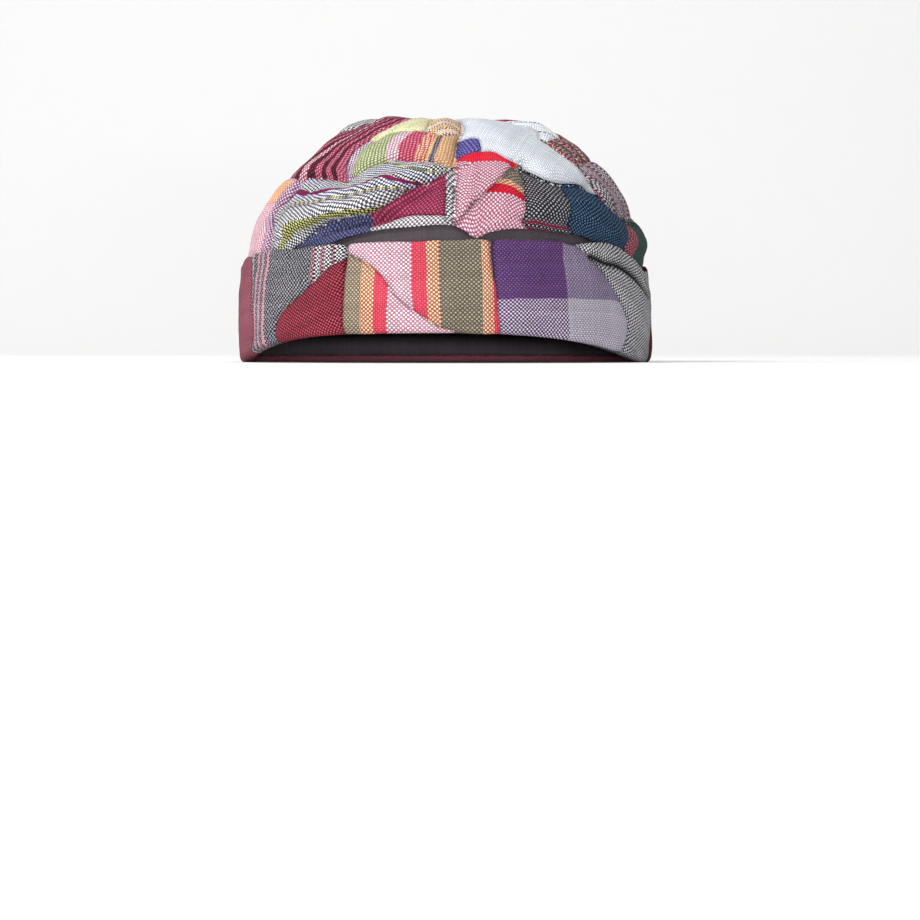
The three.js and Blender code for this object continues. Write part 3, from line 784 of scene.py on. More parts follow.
def crown_creases(places):
    """How far the deep creases sink at places of the chart, and the painted shade that darkens the cloth in
    them.
    """
    sunk, light = np.zeros(len(places)), np.ones(len(places))
    for crease in CROWN_CREASES:
        away, turn, _ = beside(spline(CROWN_SEAMS[crease["seam"]]), places)
        share = bell(away, crease["width"])
        if crease["side"]:
            share *= smooth_step(away, 0, CREASE_EDGE) * (turn == crease["side"])
        sunk += crease["depth"] * share
        # Painted shade: the crease darkens the cloth's colour.
        light *= 1 - crease["shade"] * share
    return sunk, light


def crown_local(places, middle):
    """Places of the chart laid flat round a middle angle: across it, and up from the seam."""
    angle, level = off_chart(places)
    wide = crown_size("half_width", level) * math.cos(math.radians(middle))
    long = crown_size("half_length", level) * math.sin(math.radians(middle))
    squeezed = seam_height(angle) - LOWEST
    up = level * REACH - squeezed * (1 - seam_pull(level))
    return np.column_stack([np.radians(wrapped(angle - middle)) * np.hypot(wide, long), up])


def turned_to(flat, start, toward):
    """Flat places measured from a start, along and square to the way toward another place."""
    way = (toward - start) / np.linalg.norm(toward - start)
    off = flat - start
    return np.column_stack([off @ way, off @ np.array([-way[1], way[0]])])


# Threads that are given no place to run toward go this far round the cap: degrees on the crown,
# and millimetres on the cuff.
THREADS_AHEAD = 5.0


def crown_weave(patch, places):
    """Where places lie in a patch's cloth: for its threads, and for its stripes."""
    start = patch.get("start", patch["seed"])[0]
    (middle,), level = off_chart(np.array([start]))
    toward = patch["toward"][0] if "toward" in patch else on_chart(middle + THREADS_AHEAD, level)[0]
    threads = turned_to(crown_local(places, middle), *crown_local(np.array([start, toward]), middle))
    stripes = threads.copy()
    if "between" in patch:
        first, second = (beside(spline(CROWN_SEAMS[name]), places)[0] for name in patch["between"])
        stripes[:, 0] = patch["wide"] * first / np.maximum(first + second, TINY)
    if "lean" in patch:
        stripes[:, 0] += np.interp(off_chart(places)[0], *np.array(patch["lean"]).T)
    return threads, stripes


# Small folds and gathers that are too fine for the solids, along paths on the chart

FINE_FOLD_END = 0.04
FINE_FOLDS = table(
    "height width path",
    (1.1, 2.0, pinned((12, 61), (16, 66), (22, 70), (30, 73))),
    (0.9, 1.8, pinned((15, 59.5), (21, 63), (28, 66), (35, 68))),
    (0.9, 1.8, pinned((9.5, 62.5), (10, 69), (12.5, 76), (19, 84))),
    (0.8, 2.2, pinned((7.5, 80), (13, 85), (22, 90))),
    (1.2, 2.4, pinned((-70, 71), (-58, 77), (-47, 78), (-36, 80), (-24, 85), (-12, 88))),
    (1.0, 2.2, pinned((-72, 64), (-62, 68.5), (-50, 72), (-40, 73.5), (-30, 77.5))),
    (-1.0, 1.8, pinned((-66, 75), (-56, 80.5), (-48, 81))),
    (-0.9, 3.0, pinned((-44, 71), (-46, 76), (-45, 81))),
    (1.0, 2.4, pinned((46, 72), (58, 74), (70, 70), (80, 62))),
    (-1.0, 2.4, pinned((40, 64), (52, 66), (64, 64), (74, 58))),
    (-0.8, 2.2, pinned((-33, 93), (-27, 97), (-22, 102))),
    (0.8, 3.0, pinned((20, 100), (32, 97), (44, 91), (54, 86))),
    (-0.8, 2.6, pinned((26, 104), (38, 101), (50, 94))),
)


def fine_folds(places):
    push = np.zeros(len(places))
    for fold in FINE_FOLDS:
        away, _, along = beside(spline(fold["path"]), places)
        swell = np.sin(np.pi * np.clip(along, FINE_FOLD_END, 1 - FINE_FOLD_END))
        push += fold["height"] * bell(away, fold["width"]) * swell
    return push


# Shaders

# A node that mixes colours has its share and its two colours in these sockets.
MIX_SOCKETS = (0, 6, 7)


def rgba(dye):
    """A dye's colour code, which is in the screen's standard scale, as linear amounts of light."""
    parts = [int(DYES[dye][i:i + 2], 16) / 255 for i in (1, 3, 5)]
    return [*[p / 12.92 if p <= 0.04045 else ((p + 0.055) / 1.055) ** 2.4 for p in parts], 1.0]


class Tree:
    """Short words for making and joining shader nodes."""

    def __init__(self, tree):
        self.tree = tree

    def add(self, kind, inputs=None, **settings):
        made = self.tree.nodes.new(kind)
        for name, value in settings.items():
            setattr(made, name, value)
        for name, value in (inputs or {}).items():
            self.join([value], [made.inputs[name]])
        return made

    def join(self, values, sockets):
        for value, socket in zip(values, sockets):
            if isinstance(value, bpy.types.NodeSocket):
                self.tree.links.new(value, socket)
            else:
                socket.default_value = value

    def math(self, operation, *values):
        made = self.add("ShaderNodeMath", operation=operation)
        self.join(values, made.inputs)
        return made.outputs[0]

    def times(self, first, second):
        return self.math("MULTIPLY", first, second)

    def vector(self, operation, *values):
        made = self.add("ShaderNodeVectorMath", operation=operation)
        self.join(values, (made.inputs[0], made.inputs["Scale"]) if operation == "SCALE" else made.inputs)
        return made.outputs[0]

    def combined(self, x, y, z):
        return self.add("ShaderNodeCombineXYZ", {"X": x, "Y": y, "Z": z}).outputs[0]

    def blend(self, share, first, second, way="MIX"):
        made = self.add("ShaderNodeMix", data_type="RGBA", blend_type=way)
        self.join((share, first, second), [made.inputs[i] for i in MIX_SOCKETS])
        return made.outputs[2]

    def noise(self, at, scale, detail, **more):
        return self.add("ShaderNodeTexNoise", {"Vector": at, "Scale": scale, "Detail": detail, **more})

    def spread(self, value, old, new):
        """The value moved from its old range, which it is kept in, to a new one."""
        names = ("Value", "From Min", "From Max", "To Min", "To Max")
        return self.add("ShaderNodeMapRange", dict(zip(names, (value, *old, *new)))).outputs[0]


# Threads stray in slow and in quick waves: how fine each kind is, and how many millimetres it moves
# them by.
SLOW_STRAY = (0.08, 5.0)
QUICK_STRAY = (0.42, 2.2)
STRAY_DETAIL = 1.0
NOISE_MIDDLE = (0.5, 0.5, 0.5)

# A bead is flat along the thread that lies on top and round across it.
FLAT_POWER = 0.3
ROUND_POWER = 0.65
WEFT_TONE_SHIFT = 37.5
WHOLE = (0.0, 1.0)


def make_weave_group():
    """Plain weave: which thread is on top, how high its bead stands, and each thread's own tone."""
    group = bpy.data.node_groups.new("plain weave", "ShaderNodeTree")
    vectors = ("Threads", "Stray")
    for way, names in (("INPUT", ("Threads", "Pitch", "Waver", "Cover")),
                       ("OUTPUT", ("Over", "Bead", "Warp Tone", "Weft Tone", "Stray"))):
        for name in names:
            kind = "NodeSocketVector" if name in vectors else "NodeSocketFloat"
            group.interface.new_socket(name, in_out=way, socket_type=kind)
    t = Tree(group)
    threads, pitch, waver, cover = list(t.add("NodeGroupInput").outputs)[:4]
    slow, quick = (
        t.vector("SCALE", t.vector(
            "SUBTRACT", t.noise(threads, fineness, STRAY_DETAIL).outputs["Color"], NOISE_MIDDLE), moved)
        for fineness, moved in (SLOW_STRAY, QUICK_STRAY))
    stray = t.vector("SCALE", t.vector("ADD", slow, quick), waver)
    strayed = t.vector("DIVIDE", t.vector("ADD", threads, stray), t.combined(pitch, pitch, 1.0))
    x, y, _ = t.add("ShaderNodeSeparateXYZ", {"Vector": strayed}).outputs
    wave_x, wave_y = (t.math("SINE", t.times(way, math.pi)) for way in (x, y))
    over = t.math("GREATER_THAN", t.times(wave_x, wave_y), cover)
    bead_x = t.math("POWER", t.math("ABSOLUTE", wave_x), t.spread(over, WHOLE, (FLAT_POWER, ROUND_POWER)))
    bead_y = t.math("POWER", t.math("ABSOLUTE", wave_y), t.spread(over, WHOLE, (ROUND_POWER, FLAT_POWER)))
    counts = t.math("FLOOR", x), t.math("ADD", t.math("FLOOR", y), WEFT_TONE_SHIFT)
    tones = [t.add("ShaderNodeTexWhiteNoise", {"W": count}, noise_dimensions="1D").outputs["Value"]
             for count in counts]
    t.join((over, t.times(bead_x, bead_y), *tones, stray), t.add("NodeGroupOutput").inputs)
    return group


def stripe_colour(t, at, stripes):
    """Stripes as stops of a colour ramp, repeated."""
    total = sum(width for width, _ in stripes)
    ramp = t.add("ShaderNodeValToRGB", {"Fac": t.math("FRACT", t.math("DIVIDE", at, total))})
    ramp.color_ramp.interpolation = "CONSTANT"
    stops = ramp.color_ramp.elements
    while len(stops) > 1:
        stops.remove(stops[-1])
    edge = 0.0
    for number, (width, dye) in enumerate(stripes):
        stop = stops[0] if number == 0 else stops.new(edge / total)
        stop.position = edge / total
        stop.color = rgba(dye)
        edge += width
    return ramp.outputs["Color"]


# Tones that darken or lighten a cloth: single threads, fuzz and wear, and painted shade in the gaps between
# threads and along seams.
THREAD_TONES = (0.84, 1.06)
NOISE_RANGE = (0.3, 0.7)
TONE_DETAIL = 3.0
FUZZ_FINENESS = 2.6
FUZZ_ROUGHNESS = 0.7
FUZZ_DARKEST = 0.86
FUZZ_LIGHTEST = 1.1
WEAR_FINENESS = 0.045
WEAR_TONES = (0.9, 1.08)
# Painted shade in the gaps between threads, from how high the bead stands.
GAP_SHADE_POWER = 0.8
GAP_SHADE_RANGE = (0.0, 0.85)
GAP_SHADE_TONES = (0.16, 1.0)
# Painted shade along seams, by distance from the seam in millimetres.
SEAM_SHADE_RANGE = (0.1, 1.3)
SEAM_SHADE_TONES = (0.5, 1.0)

# The fine relief of the threads and the cloth's dull surface
WEAVE_BUMP = 0.45
FUZZ_BUMP = 0.12
BUMP_STRENGTH = 0.8
BUMP_HEIGHT = 1.0
CLOTH_ROUGHNESS = 0.92
CLOTH_SHINE = 0.06


def cloth_material(name, group):
    """Woven cotton with its stripes, thread by thread tones, fuzz, wear, and painted shade in the gaps
    between threads, along seams and in creases.
    """
    cloth = CLOTHS[name]
    material = bpy.data.materials.new(name.replace(" ", "_"))
    material.use_nodes = True
    t = Tree(material.node_tree)
    shader = material.node_tree.nodes["Principled BSDF"].inputs
    threads, stripes = (t.add("ShaderNodeUVMap", uv_map=layer).outputs[0] for layer in ("threads", "stripes"))
    weave = t.add("ShaderNodeGroup", node_tree=group)
    t.join((threads, cloth["pitch"], cloth["waver"], -cloth["cover"]), weave.inputs)
    over, bead, warp_tone, weft_tone, stray = weave.outputs
    across, up, _ = t.add("ShaderNodeSeparateXYZ", {"Vector": t.vector("ADD", stripes, stray)}).outputs
    warp = stripe_colour(t, across, [stripe[:2] for stripe in cloth["warp"]])
    if cloth["weft"]:
        weft = stripe_colour(t, up, cloth["weft"])
    else:
        weft = stripe_colour(t, across, [stripe[::2] for stripe in cloth["warp"]])
    tone = t.math("ADD", t.times(warp_tone, over), t.times(weft_tone, t.math("SUBTRACT", 1.0, over)))
    thread_tone = t.spread(tone, WHOLE, THREAD_TONES)
    fuzz = t.noise(threads, FUZZ_FINENESS, TONE_DETAIL, Roughness=FUZZ_ROUGHNESS).outputs[0]
    fuzz_tones = (FUZZ_DARKEST - cloth["mottle"], FUZZ_LIGHTEST + cloth["mottle"])
    fuzz_tone = t.spread(fuzz, NOISE_RANGE, fuzz_tones)
    wear = t.noise(threads, WEAR_FINENESS, TONE_DETAIL).outputs[0]
    worn_tone = t.spread(wear, NOISE_RANGE, WEAR_TONES)
    # Painted shade in the gaps between threads, where the beads are low.
    gap_shade = t.spread(t.math("POWER", bead, GAP_SHADE_POWER), GAP_SHADE_RANGE, GAP_SHADE_TONES)
    # Painted shade: the seam distance darkens the cloth along its seams, and the light attribute darkens it
    # in creases.
    seam, light = (t.add("ShaderNodeAttribute", attribute_name=kept).outputs["Fac"]
                   for kept in ("seam", "light"))
    all_tones = t.times(t.times(thread_tone, fuzz_tone), t.times(worn_tone, gap_shade))
    shade = t.times(t.times(all_tones, t.spread(seam, SEAM_SHADE_RANGE, SEAM_SHADE_TONES)), light)
    colour = t.blend(1.0, t.blend(over, weft, warp), t.combined(shade, shade, shade), "MULTIPLY")
    height = t.math("ADD", t.times(bead, WEAVE_BUMP), t.times(fuzz, FUZZ_BUMP))
    bumps = {"Height": height, "Strength": BUMP_STRENGTH, "Distance": BUMP_HEIGHT * MM}
    t.join((colour, t.add("ShaderNodeBump", bumps).outputs[0], CLOTH_ROUGHNESS, CLOTH_SHINE),
           [shader[socket] for socket in ("Base Color", "Normal", "Roughness", "Specular IOR Level")])
    return material


def placed(name, data):
    """An object of the scene for a mesh, a lamp or a camera."""
    made = bpy.data.objects.new(name, data)
    bpy.context.scene.collection.objects.link(made)
    return made


def make_object(name, points, triangles, labels, cloths, weave, seam_distance, light, materials):
    """A mesh in metres whose triangles carry their patch's cloth."""
    mesh = bpy.data.meshes.new(name)
    mesh.from_pydata((points * MM).tolist(), [], triangles.tolist())
    used = sorted(set(cloths))
    for cloth in used:
        mesh.materials.append(materials[cloth])
    numbers = np.array([used.index(cloth) for cloth in cloths], np.int32)
    mesh.polygons.foreach_set("material_index", numbers[labels])
    mesh.polygons.foreach_set("use_smooth", np.ones(len(triangles), bool))
    for layer_name, values in zip(("threads", "stripes"), weave):
        mesh.uv_layers.new(name=layer_name).data.foreach_set("uv", values.astype(np.float32).ravel())
    # The seam distance and the light attribute set painted shade in the cloth's colour.
    for kept, values in (("seam", seam_distance), ("light", light)):
        mesh.attributes.new(kept, "FLOAT", "POINT").data.foreach_set("value", values.astype(np.float32))
    mesh.update()
    piece = placed(name, mesh)
    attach(piece, "root")
    return piece


# The crown

def crown_sheet(ring, seams, step):
    fill = grid((-REACH, -REACH), (REACH, REACH), step)
    return cut_sheet(ring, seams, fill[np.hypot(*fill.T) < REACH - FINE])


def build_crown(materials):
    """The patchwork outside, the plain inside and the rim that joins them."""
    ring = on_chart(np.arange(RING_POINTS) * 360 / RING_POINTS, np.zeros(RING_POINTS))
    seams = [evenly(spline(path), SEAM_STEP) for path in CROWN_SEAMS.values()]
    places, triangles, fixed = crown_sheet(ring, seams, FINE)
    labels, seam_pairs = label_patches(places, triangles, fixed, CROWN_PATCHES)
    outer = crown_cloth(places)
    away, nearest = seam_relief(outer, seam_pairs)
    # light carries the crown creases' painted shade into the cloth's colour.
    sunk, light = crown_creases(places)
    push = relief(outer, away, nearest) - sunk + fine_folds(places)
    push = push * smooth_step(off_chart(places)[1], 0.0, SEAM_FLAT_LEVEL * 2)
    outer = outer + surface_normals(outer, triangles) * push[:, None]

    inner_places, inner_triangles, _ = crown_sheet(ring, [], COARSE)
    inner = crown_cloth(inner_places)
    inner = inner - surface_normals(inner, inner_triangles) * CROWN_WALL

    outside = nearest_of(places, ring)[0]
    inside = nearest_of(inner_places, ring)[0] + len(places)
    after_outside, after_inside = np.roll(outside, -1), np.roll(inside, -1)
    everything = np.concatenate([
        triangles, inner_triangles[:, ::-1] + len(places),
        np.column_stack([outside, inside, after_inside]),
        np.column_stack([outside, after_inside, after_outside])])
    centres = places[triangles].mean(1)
    inner_labels = labels[nearest_of(centres, inner_places[inner_triangles].mean(1))[0]]
    rim_labels = labels[nearest_of(centres, ring)[0]]
    all_labels = np.concatenate([labels, inner_labels, rim_labels, rim_labels])
    weave = woven(CROWN_PATCHES, all_labels, np.concatenate([places, inner_places])[everything], crown_weave)
    seam_distance = np.concatenate([away, np.full(len(inner), FAR)])
    piece = make_object(
        "crown_patchwork", np.concatenate([outer, inner]), everything, all_labels,
        [patch["cloth"] for patch in CROWN_PATCHES], weave, seam_distance,
        np.concatenate([light, np.ones(len(inner))]), materials)
    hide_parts("crown")


# The cuff, laid flat: along the rim from one back seam round to itself, and round its section

ROUND_STEPS = 720
BACK_SEAM = 170.0
TURN = np.linspace(BACK_SEAM - 360, BACK_SEAM, ROUND_STEPS + 1)
TURN_LENGTHS = distances(
    RIM_HALF_WIDTH * np.sin(np.radians(TURN)), RIM_HALF_LENGTH * np.cos(np.radians(TURN)))
RIM_GIRTH = TURN_LENGTHS[-1]
SECTION_RISES = column_of(CUFF_SECTION, "rise")
TOP_PLACE = CUFF_PLACES[SECTION_RISES.argmax()]
FOOT_PLACE = CUFF_PLACES[2] - SECTION_RISES[2]
FACING = 6.0
RUN_ON = 4.5
COLUMN_STEP = 1.5
LAST_ROW_GAP = 1.0
JOINED_DECIMALS = 3
OUTSIDE_START = 1.0
OUTSIDE_FULL = FOOT_PLACE + 2


def along_rim(angle):
    return np.interp(angle, TURN, TURN_LENGTHS)


def angle_at(along):
    return np.interp(along, TURN_LENGTHS, TURN)


def round_cuff(*places):
    """The flat cuff's places at angles and heights above its foot."""
    angle, rise = np.array(places, float).T
    return list(np.column_stack([along_rim(angle), FOOT_PLACE + rise]))


def on_cuff(*places):
    """The flat cuff's places of points that are seen on its outside from the front."""
    across, up = np.array(places, float).T
    nearer = np.ones(len(up))
    for _ in range(PIN_STEPS):
        angle = np.degrees(np.arcsin(np.clip(across / nearer / RIM_HALF_WIDTH, -SIDE_LIMIT, SIDE_LIMIT)))
        nearer = nearness(-RIM_HALF_LENGTH * np.cos(np.radians(angle)))
    height = SIGHT_HEIGHT + (up - SIGHT_HEIGHT) / nearer
    return round_cuff(*zip(angle, (height - arch_at(angle)) * CUFF_HEIGHT / cuff_top(angle)))


def cuff_cloth(places):
    angle = angle_at(places[:, 0])
    inset = read_table(CUFF_SECTION, "inset", CUFF_PLACES, places[:, 1])
    rise = read_table(CUFF_SECTION, "rise", CUFF_PLACES, places[:, 1])
    upper = smooth_step(rise, SWELL_START, SWELL_FULL)
    outward = sum(s["outward"] * bump(angle, s["angle"], s["spread"]) for s in CUFF_SWELLS) * upper
    turned = np.radians(angle)
    return np.column_stack([
        (RIM_HALF_WIDTH - inset + outward) * np.sin(turned),
        -(RIM_HALF_LENGTH - inset + outward) * np.cos(turned),
        arch_at(angle) + rise * cuff_top(angle) / CUFF_HEIGHT,
    ])


CUFF_SEAMS = {
    "left end": [*round_cuff((-70, 0)), *on_cuff((-88.6, 14), (-89.3, 28), (-89.2, 38)),
        *round_cuff((-69, 44))],
    "over the maroon check": on_cuff((-44, 49), (-46.2, 47.8), (-53.6, 43.9), (-59.1, 38.9), (-63.3, 35),
        (-67.9, 30.4), (-74.3, 24.8), (-77.7, 19.8), (-79.1, 14), (-78.5, 7)),
    "left of the striped cloth": on_cuff((-45.6, 56), (-46.2, 44), (-47, 30), (-47.5, 19), (-47, 13)),
    "across the striped cloth": on_cuff((-47.5, 50.5), (-43.9, 49.5), (-34.7, 44.5), (-27.8, 38),
        (-20.9, 28.5), (-9.4, 20.5), (-2.5, 16), (5, 13.5)),
    "left of the plum cloth": on_cuff((21.8, 57), (22.3, 46.9), (23.7, 35.4), (25.1, 23.9), (26, 13.3)),
    "curved seam at the right": on_cuff((59, 57), (61, 55.2), (66.5, 49.7), (72.5, 43.2), (78.4, 33.1),
        (81.9, 26.2), (84.4, 20.2), (84.9, 13.5), (83, 7)),
    "right end": round_cuff((80, 0), (82, 12), (85, 26), (87, 38), (88, 44)),
    "back seam one": round_cuff((128, 0), (127, 20), (129, 44)),
    "back seam two": round_cuff((-150, 0), (-148, 20), (-149, 44)),
    "back seam three": round_cuff((-108, 0), (-110, 20), (-109, 44)),
}

# Creases on the cuff where its cloth is folded over itself, with a lip on their upper side; the shade column
# is painted shade that darkens the cloth's colour along each crease.
CUFF_CREASES = table(
    "depth width lip shade path",
    (1.5, 1.4, 0.9, 0.98, [*on_cuff((68.6, 48.9), (71.5, 47.4), (75.2, 45.5), (80.3, 44.2), (84.4, 41.6),
     (88.4, 37.7), (91.3, 33.6)), *round_cuff((79, 31), (86, 29))]),
    (1.0, 1.1, 0.2, 0.3, on_cuff((-45.8, 57), (-46.3, 50), (-46.8, 40))),
    (0.8, 1.1, 0.2, 0.3, on_cuff((22.2, 58), (22.6, 47), (23.9, 35))),
)

CUFF_PATCHES = table(
    "name cloth seed start toward",
    ("inside", "maroon back", round_cuff((0, 70))),
    ("charcoal panel", "charcoal stripes", on_cuff((-72, 40)), on_cuff((-88.6, 30)), on_cuff((-80, 30.4))),
    ("maroon check", "maroon check", on_cuff((-60, 20)), on_cuff((-60, 20)), on_cuff((-50, 24))),
    ("left striped cloth", "faded sunset stripes", on_cuff((-35, 25)), on_cuff((-26.5, 25)),
     on_cuff((-36, 25))),
    ("right striped cloth", "sunset stripes", on_cuff((0, 40)), on_cuff((-15.0, 40)), on_cuff((0, 40.7))),
    ("plum plaid", "plum plaid", on_cuff((40, 35)), on_cuff((22.0, 8.0)), on_cuff((40, 8.3))),
    ("grey speckle", "grey speckle", on_cuff((86, 33)), on_cuff((80, 38)), on_cuff((86, 30))),
    ("right back", "brown back", round_cuff((105, 20))),
    ("back one", "charcoal stripes", round_cuff((150, 20))),
    ("back two", "green stripes", round_cuff((-172, 20))),
    ("back three", "plum plaid", round_cuff((-128, 20))),
    ("left back", "maroon back", round_cuff((-90, 20))),
)


# How far a crease's lip lies from it, and how wide it is, both in widths of the crease.
LIP_AWAY = 2.2
LIP_SPREAD = 1.5

# The share of a crease's length over which its far end fades out.
CREASE_FADE = 0.3


def cuff_creases(places):
    """How far the creases push the cuff in or out at flat places, and the painted shade that darkens the
    cloth along them.
    """
    push, light = np.zeros(len(places)), np.ones(len(places))
    for crease in CUFF_CREASES:
        away, turn, along = beside(spline(crease["path"]), places)
        kept = smooth_step(1 - along, 0, CREASE_FADE)
        share = kept * bell(away, crease["width"])
        lip = bell(away - LIP_AWAY * crease["width"], LIP_SPREAD * crease["width"])
        lip *= kept * (turn > 0)
        push += crease["lip"] * lip - crease["depth"] * share
        # Painted shade: the crease darkens the cloth's colour.
        light *= 1 - crease["shade"] * share
    return push, light


def merged(points, triangles):
    """The mesh with points at one place joined, which old points are kept, and the new numbers of all."""
    rounded = np.round(points, JOINED_DECIMALS)
    _, first, number = np.unique(rounded, axis=0, return_index=True, return_inverse=True)
    number = number.ravel()
    return points[first], number[triangles], first, number


def run_on(line):
    """A seam of the cuff that reaches an edge goes on round it to the inside."""
    for end in (0, -1):
        x, y = line[end]
        if y < FOOT_PLACE + RUN_ON:
            beyond = [(x, 0.0)]
        elif y > TOP_PLACE - RUN_ON:
            beyond = [(x, TOP_PLACE + FACING + FINE)]
        else:
            continue
        line = np.vstack([line, beyond] if end else [beyond, line])
    return line


def cuff_weave(patch, places):
    """Where places of the flat cuff lie in a patch's cloth, the same for threads and for stripes."""
    start = patch.get("start", patch["seed"])[0]
    toward = patch["toward"][0] if "toward" in patch else start + np.array([THREADS_AHEAD, 0.0])
    threads = turned_to(places, start, toward)
    return threads, threads


def build_cuff(materials):
    """The cuff, cut flat and bent round the rim, where its edges meet again."""
    inside_start = TOP_PLACE + FACING
    inside_heights = np.arange(inside_start, CUFF_GIRTH - LAST_ROW_GAP, COARSE)
    heights = np.concatenate([np.arange(0, inside_start, FINE), inside_heights, [CUFF_GIRTH]])
    widths = np.linspace(0, RIM_GIRTH, int(RIM_GIRTH / COLUMN_STEP))
    low, high = np.zeros(len(widths) - 1), np.full(len(widths) - 1, CUFF_GIRTH)
    left, right = np.zeros(len(heights) - 1), np.full(len(heights) - 1, RIM_GIRTH)
    border = np.concatenate([
        np.column_stack([widths[:-1], low]), np.column_stack([right, heights[:-1]]),
        np.column_stack([widths[:0:-1], high]), np.column_stack([left, heights[:0:-1]])])
    fine = grid((FINE / 2, FINE / 2), (RIM_GIRTH - FINE / 2, inside_start), FINE)
    coarse = grid((FINE, inside_start + FINE), (RIM_GIRTH - FINE, CUFF_GIRTH - FINE), COARSE)
    seams = [evenly(run_on(spline(path)), SEAM_STEP) for path in CUFF_SEAMS.values()]
    seams.append(evenly(np.array([[0, inside_start], [RIM_GIRTH, inside_start]]), SEAM_STEP * 2))
    creases = [evenly(spline(crease["path"]), SEAM_STEP) for crease in CUFF_CREASES]
    places, flat_triangles, fixed = cut_sheet(border, seams, np.concatenate([fine, coarse]), creases)
    labels, seam_pairs = label_patches(places, flat_triangles, fixed, CUFF_PATCHES)
    points, triangles, first, number = merged(cuff_cloth(places), flat_triangles)
    away, nearest = seam_relief(points, number[seam_pairs])
    up = places[first][:, 1]
    outside = smooth_step(up, OUTSIDE_START, OUTSIDE_FULL) * (1 - smooth_step(up, TOP_PLACE, inside_start))
    # light carries the cuff creases' painted shade into the cloth's colour.
    creased, light = cuff_creases(places[first])
    push = (relief(points, away, nearest) + creased) * outside
    points = points + surface_normals(points, triangles) * push[:, None]
    weave = woven(CUFF_PATCHES, labels, places[flat_triangles], cuff_weave)
    cloths = [patch["cloth"] for patch in CUFF_PATCHES]
    piece = make_object("cuff_patchwork", points, triangles, labels, cloths, weave, away, light, materials)
    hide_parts("cuff")


# The band

BAND_COLUMNS = 360
BAND_ROWS = 10
BAND_ROW_CLOTH = 5.0


def build_band(materials):
    """A closed wall whose section goes up on its outside and down on its inside."""
    angles = np.arange(BAND_COLUMNS) * 360 / BAND_COLUMNS
    turned = np.radians(angles)
    foot = arch_at(angles) + CUFF_FOOT + SEAT_GAP
    top = seam_height(angles) + BAND_OVERLAP
    shares = np.linspace(0, 1, BAND_ROWS)
    sections = [(BAND_INSET, share) for share in shares]
    sections += [(BAND_INSET + BAND_WALL, share) for share in shares[::-1]]
    points = np.concatenate([np.column_stack([
        (RIM_HALF_WIDTH - inset) * np.sin(turned), -(RIM_HALF_LENGTH - inset) * np.cos(turned),
        foot + (top - foot) * share]) for inset, share in sections])
    columns = np.arange(BAND_COLUMNS)
    after = (columns + 1) % BAND_COLUMNS
    x0, x1 = columns * (RIM_GIRTH / BAND_COLUMNS), (columns + 1) * (RIM_GIRTH / BAND_COLUMNS)
    triangles, threads = [], []
    for row in range(len(sections)):
        here, there = row * BAND_COLUMNS, (row + 1) % len(sections) * BAND_COLUMNS
        y0 = np.full(BAND_COLUMNS, row * BAND_ROW_CLOTH)
        y1 = y0 + BAND_ROW_CLOTH
        corners = [here + columns, here + after, there + after, there + columns]
        flat = [(x0, y0), (x1, y0), (x1, y1), (x0, y1)]
        for three in ((0, 1, 2), (0, 2, 3)):
            triangles.append(np.column_stack([corners[i] for i in three]))
            threads.append(np.stack([np.column_stack(flat[i]) for i in three], 1))
    triangles, threads = np.concatenate(triangles), np.concatenate(threads)
    piece = make_object("band_cloth", points, triangles, np.zeros(len(triangles), int), ["band twill"],
                        (threads, threads), np.full(len(points), FAR), np.ones(len(points)), materials)
    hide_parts("band")


# The floor, the lights and the camera, in metres

# The floor runs from the front, behind the camera, to a backdrop, with a rounded corner before it.
FLOOR_NEAR = -3.4
FLOOR_BACK = 2.2
FLOOR_HALF_WIDTH = 4.0
BACKDROP_TOP = 3.0
CORNER_RADIUS = 1.0
CORNER_STEPS = 16
PAPER = (0.84, 0.84, 0.837, 1)


def build_stage():
    bend = FLOOR_BACK - CORNER_RADIUS
    corner = [(bend + CORNER_RADIUS * math.sin(a), CORNER_RADIUS - CORNER_RADIUS * math.cos(a))
              for a in np.linspace(0, math.pi / 2, CORNER_STEPS)[1:]]
    profile = [(FLOOR_NEAR, 0.0), (bend, 0.0), *corner, (FLOOR_BACK, BACKDROP_TOP)]
    points = [(x, y, z) for y, z in profile for x in (-FLOOR_HALF_WIDTH, FLOOR_HALF_WIDTH)]
    faces = [(2 * i, 2 * i + 1, 2 * i + 3, 2 * i + 2) for i in range(len(profile) - 1)]
    mesh = bpy.data.meshes.new("studio_floor")
    mesh.from_pydata(points, [], faces)
    mesh.polygons.foreach_set("use_smooth", [True] * len(faces))
    material = bpy.data.materials.new("pale_paper")
    material.use_nodes = True
    shader = material.node_tree.nodes["Principled BSDF"]
    shader.inputs["Base Color"].default_value = PAPER
    shader.inputs["Roughness"].default_value = 1.0
    shader.inputs["Specular IOR Level"].default_value = 0.0
    mesh.materials.append(material)
    floor = placed("studio_floor", mesh)


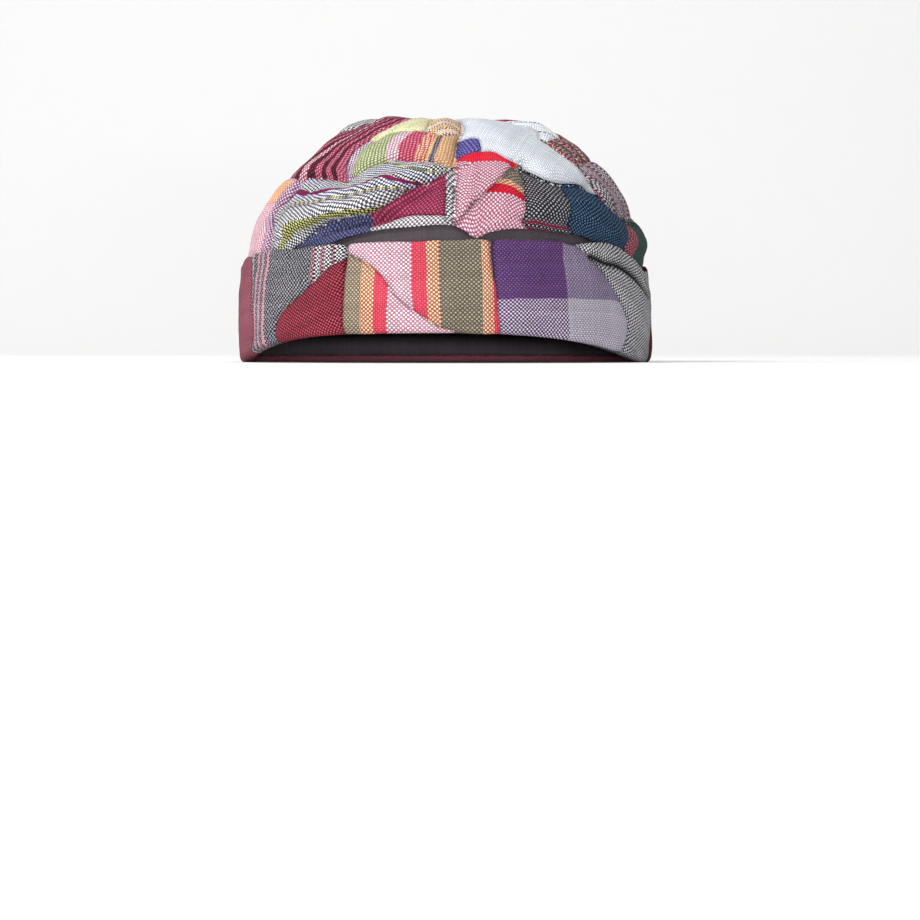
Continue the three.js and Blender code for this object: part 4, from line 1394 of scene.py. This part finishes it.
CAP_MIDDLE = (0, 0, 0.06)
LIGHTS = table(
    "name place target wide high power",
    ("key light", (-1.3, -1.5, 1.55), CAP_MIDDLE, 1.0, 1.0, 36),
    ("fill light", (1.3, -1.4, 1.0), CAP_MIDDLE, 1.2, 1.2, 3),
    ("low front light", (0.1, -1.62, 0.04), (0, 0, 0.015), 0.5, 0.05, 14),
    ("left light", (-2.0, 0.2, 0.6), CAP_MIDDLE, 0.8, 0.8, 9),
    ("top light", (0.0, 0.3, 1.9), CAP_MIDDLE, 1.2, 1.2, 9),
    ("backdrop light", (0.0, 0.9, 2.4), (0, 2.2, 0.5), 1.6, 1.6, 12),
)


def point_at(thing, place, target):
    thing.location = place
    thing.rotation_euler = (Vector(target) - Vector(place)).to_track_quat("-Z", "Y").to_euler()


def build_light(name, place, target, wide, high, power):
    lamp = bpy.data.lights.new(name, "AREA")
    lamp.shape = "ELLIPSE"
    lamp.size = wide
    lamp.size_y = high
    lamp.energy = power
    point_at(placed(name, lamp), place, target)


# The picture's width at the cap, the point that it is centred on and the light from all round
FRAME_WIDTH = 0.4232
SENSOR = 36.0
AIM = (0.0067, 0.0, -0.0451)
ROOM_LIGHT = 0.42


def build_camera():
    data = bpy.data.cameras.new("camera")
    distance = SIGHT_DISTANCE * MM
    data.sensor_width = SENSOR
    data.lens = SENSOR * distance / FRAME_WIDTH
    data.clip_start = SIGHT_HEIGHT * MM / 2
    camera = placed("camera", data)
    point_at(camera, (AIM[0], -distance, SIGHT_HEIGHT * MM), AIM)
    bpy.context.scene.camera = camera


def build_world():
    world = bpy.data.worlds.new("studio")
    world.use_nodes = True
    background = world.node_tree.nodes["Background"]
    background.inputs["Color"].default_value = (1, 1, 1, 1)
    background.inputs["Strength"].default_value = ROOM_LIGHT
    bpy.context.scene.world = world
    bpy.context.scene.view_settings.view_transform = "Standard"


def main():
    build_camera()
    build_world()
    build_stage()
    for light in LIGHTS:
        build_light(**light)
    group = make_weave_group()
    materials = {name: cloth_material(name, group) for name in CLOTHS}
    build_crown(materials)
    build_cuff(materials)
    build_band(materials)


main()
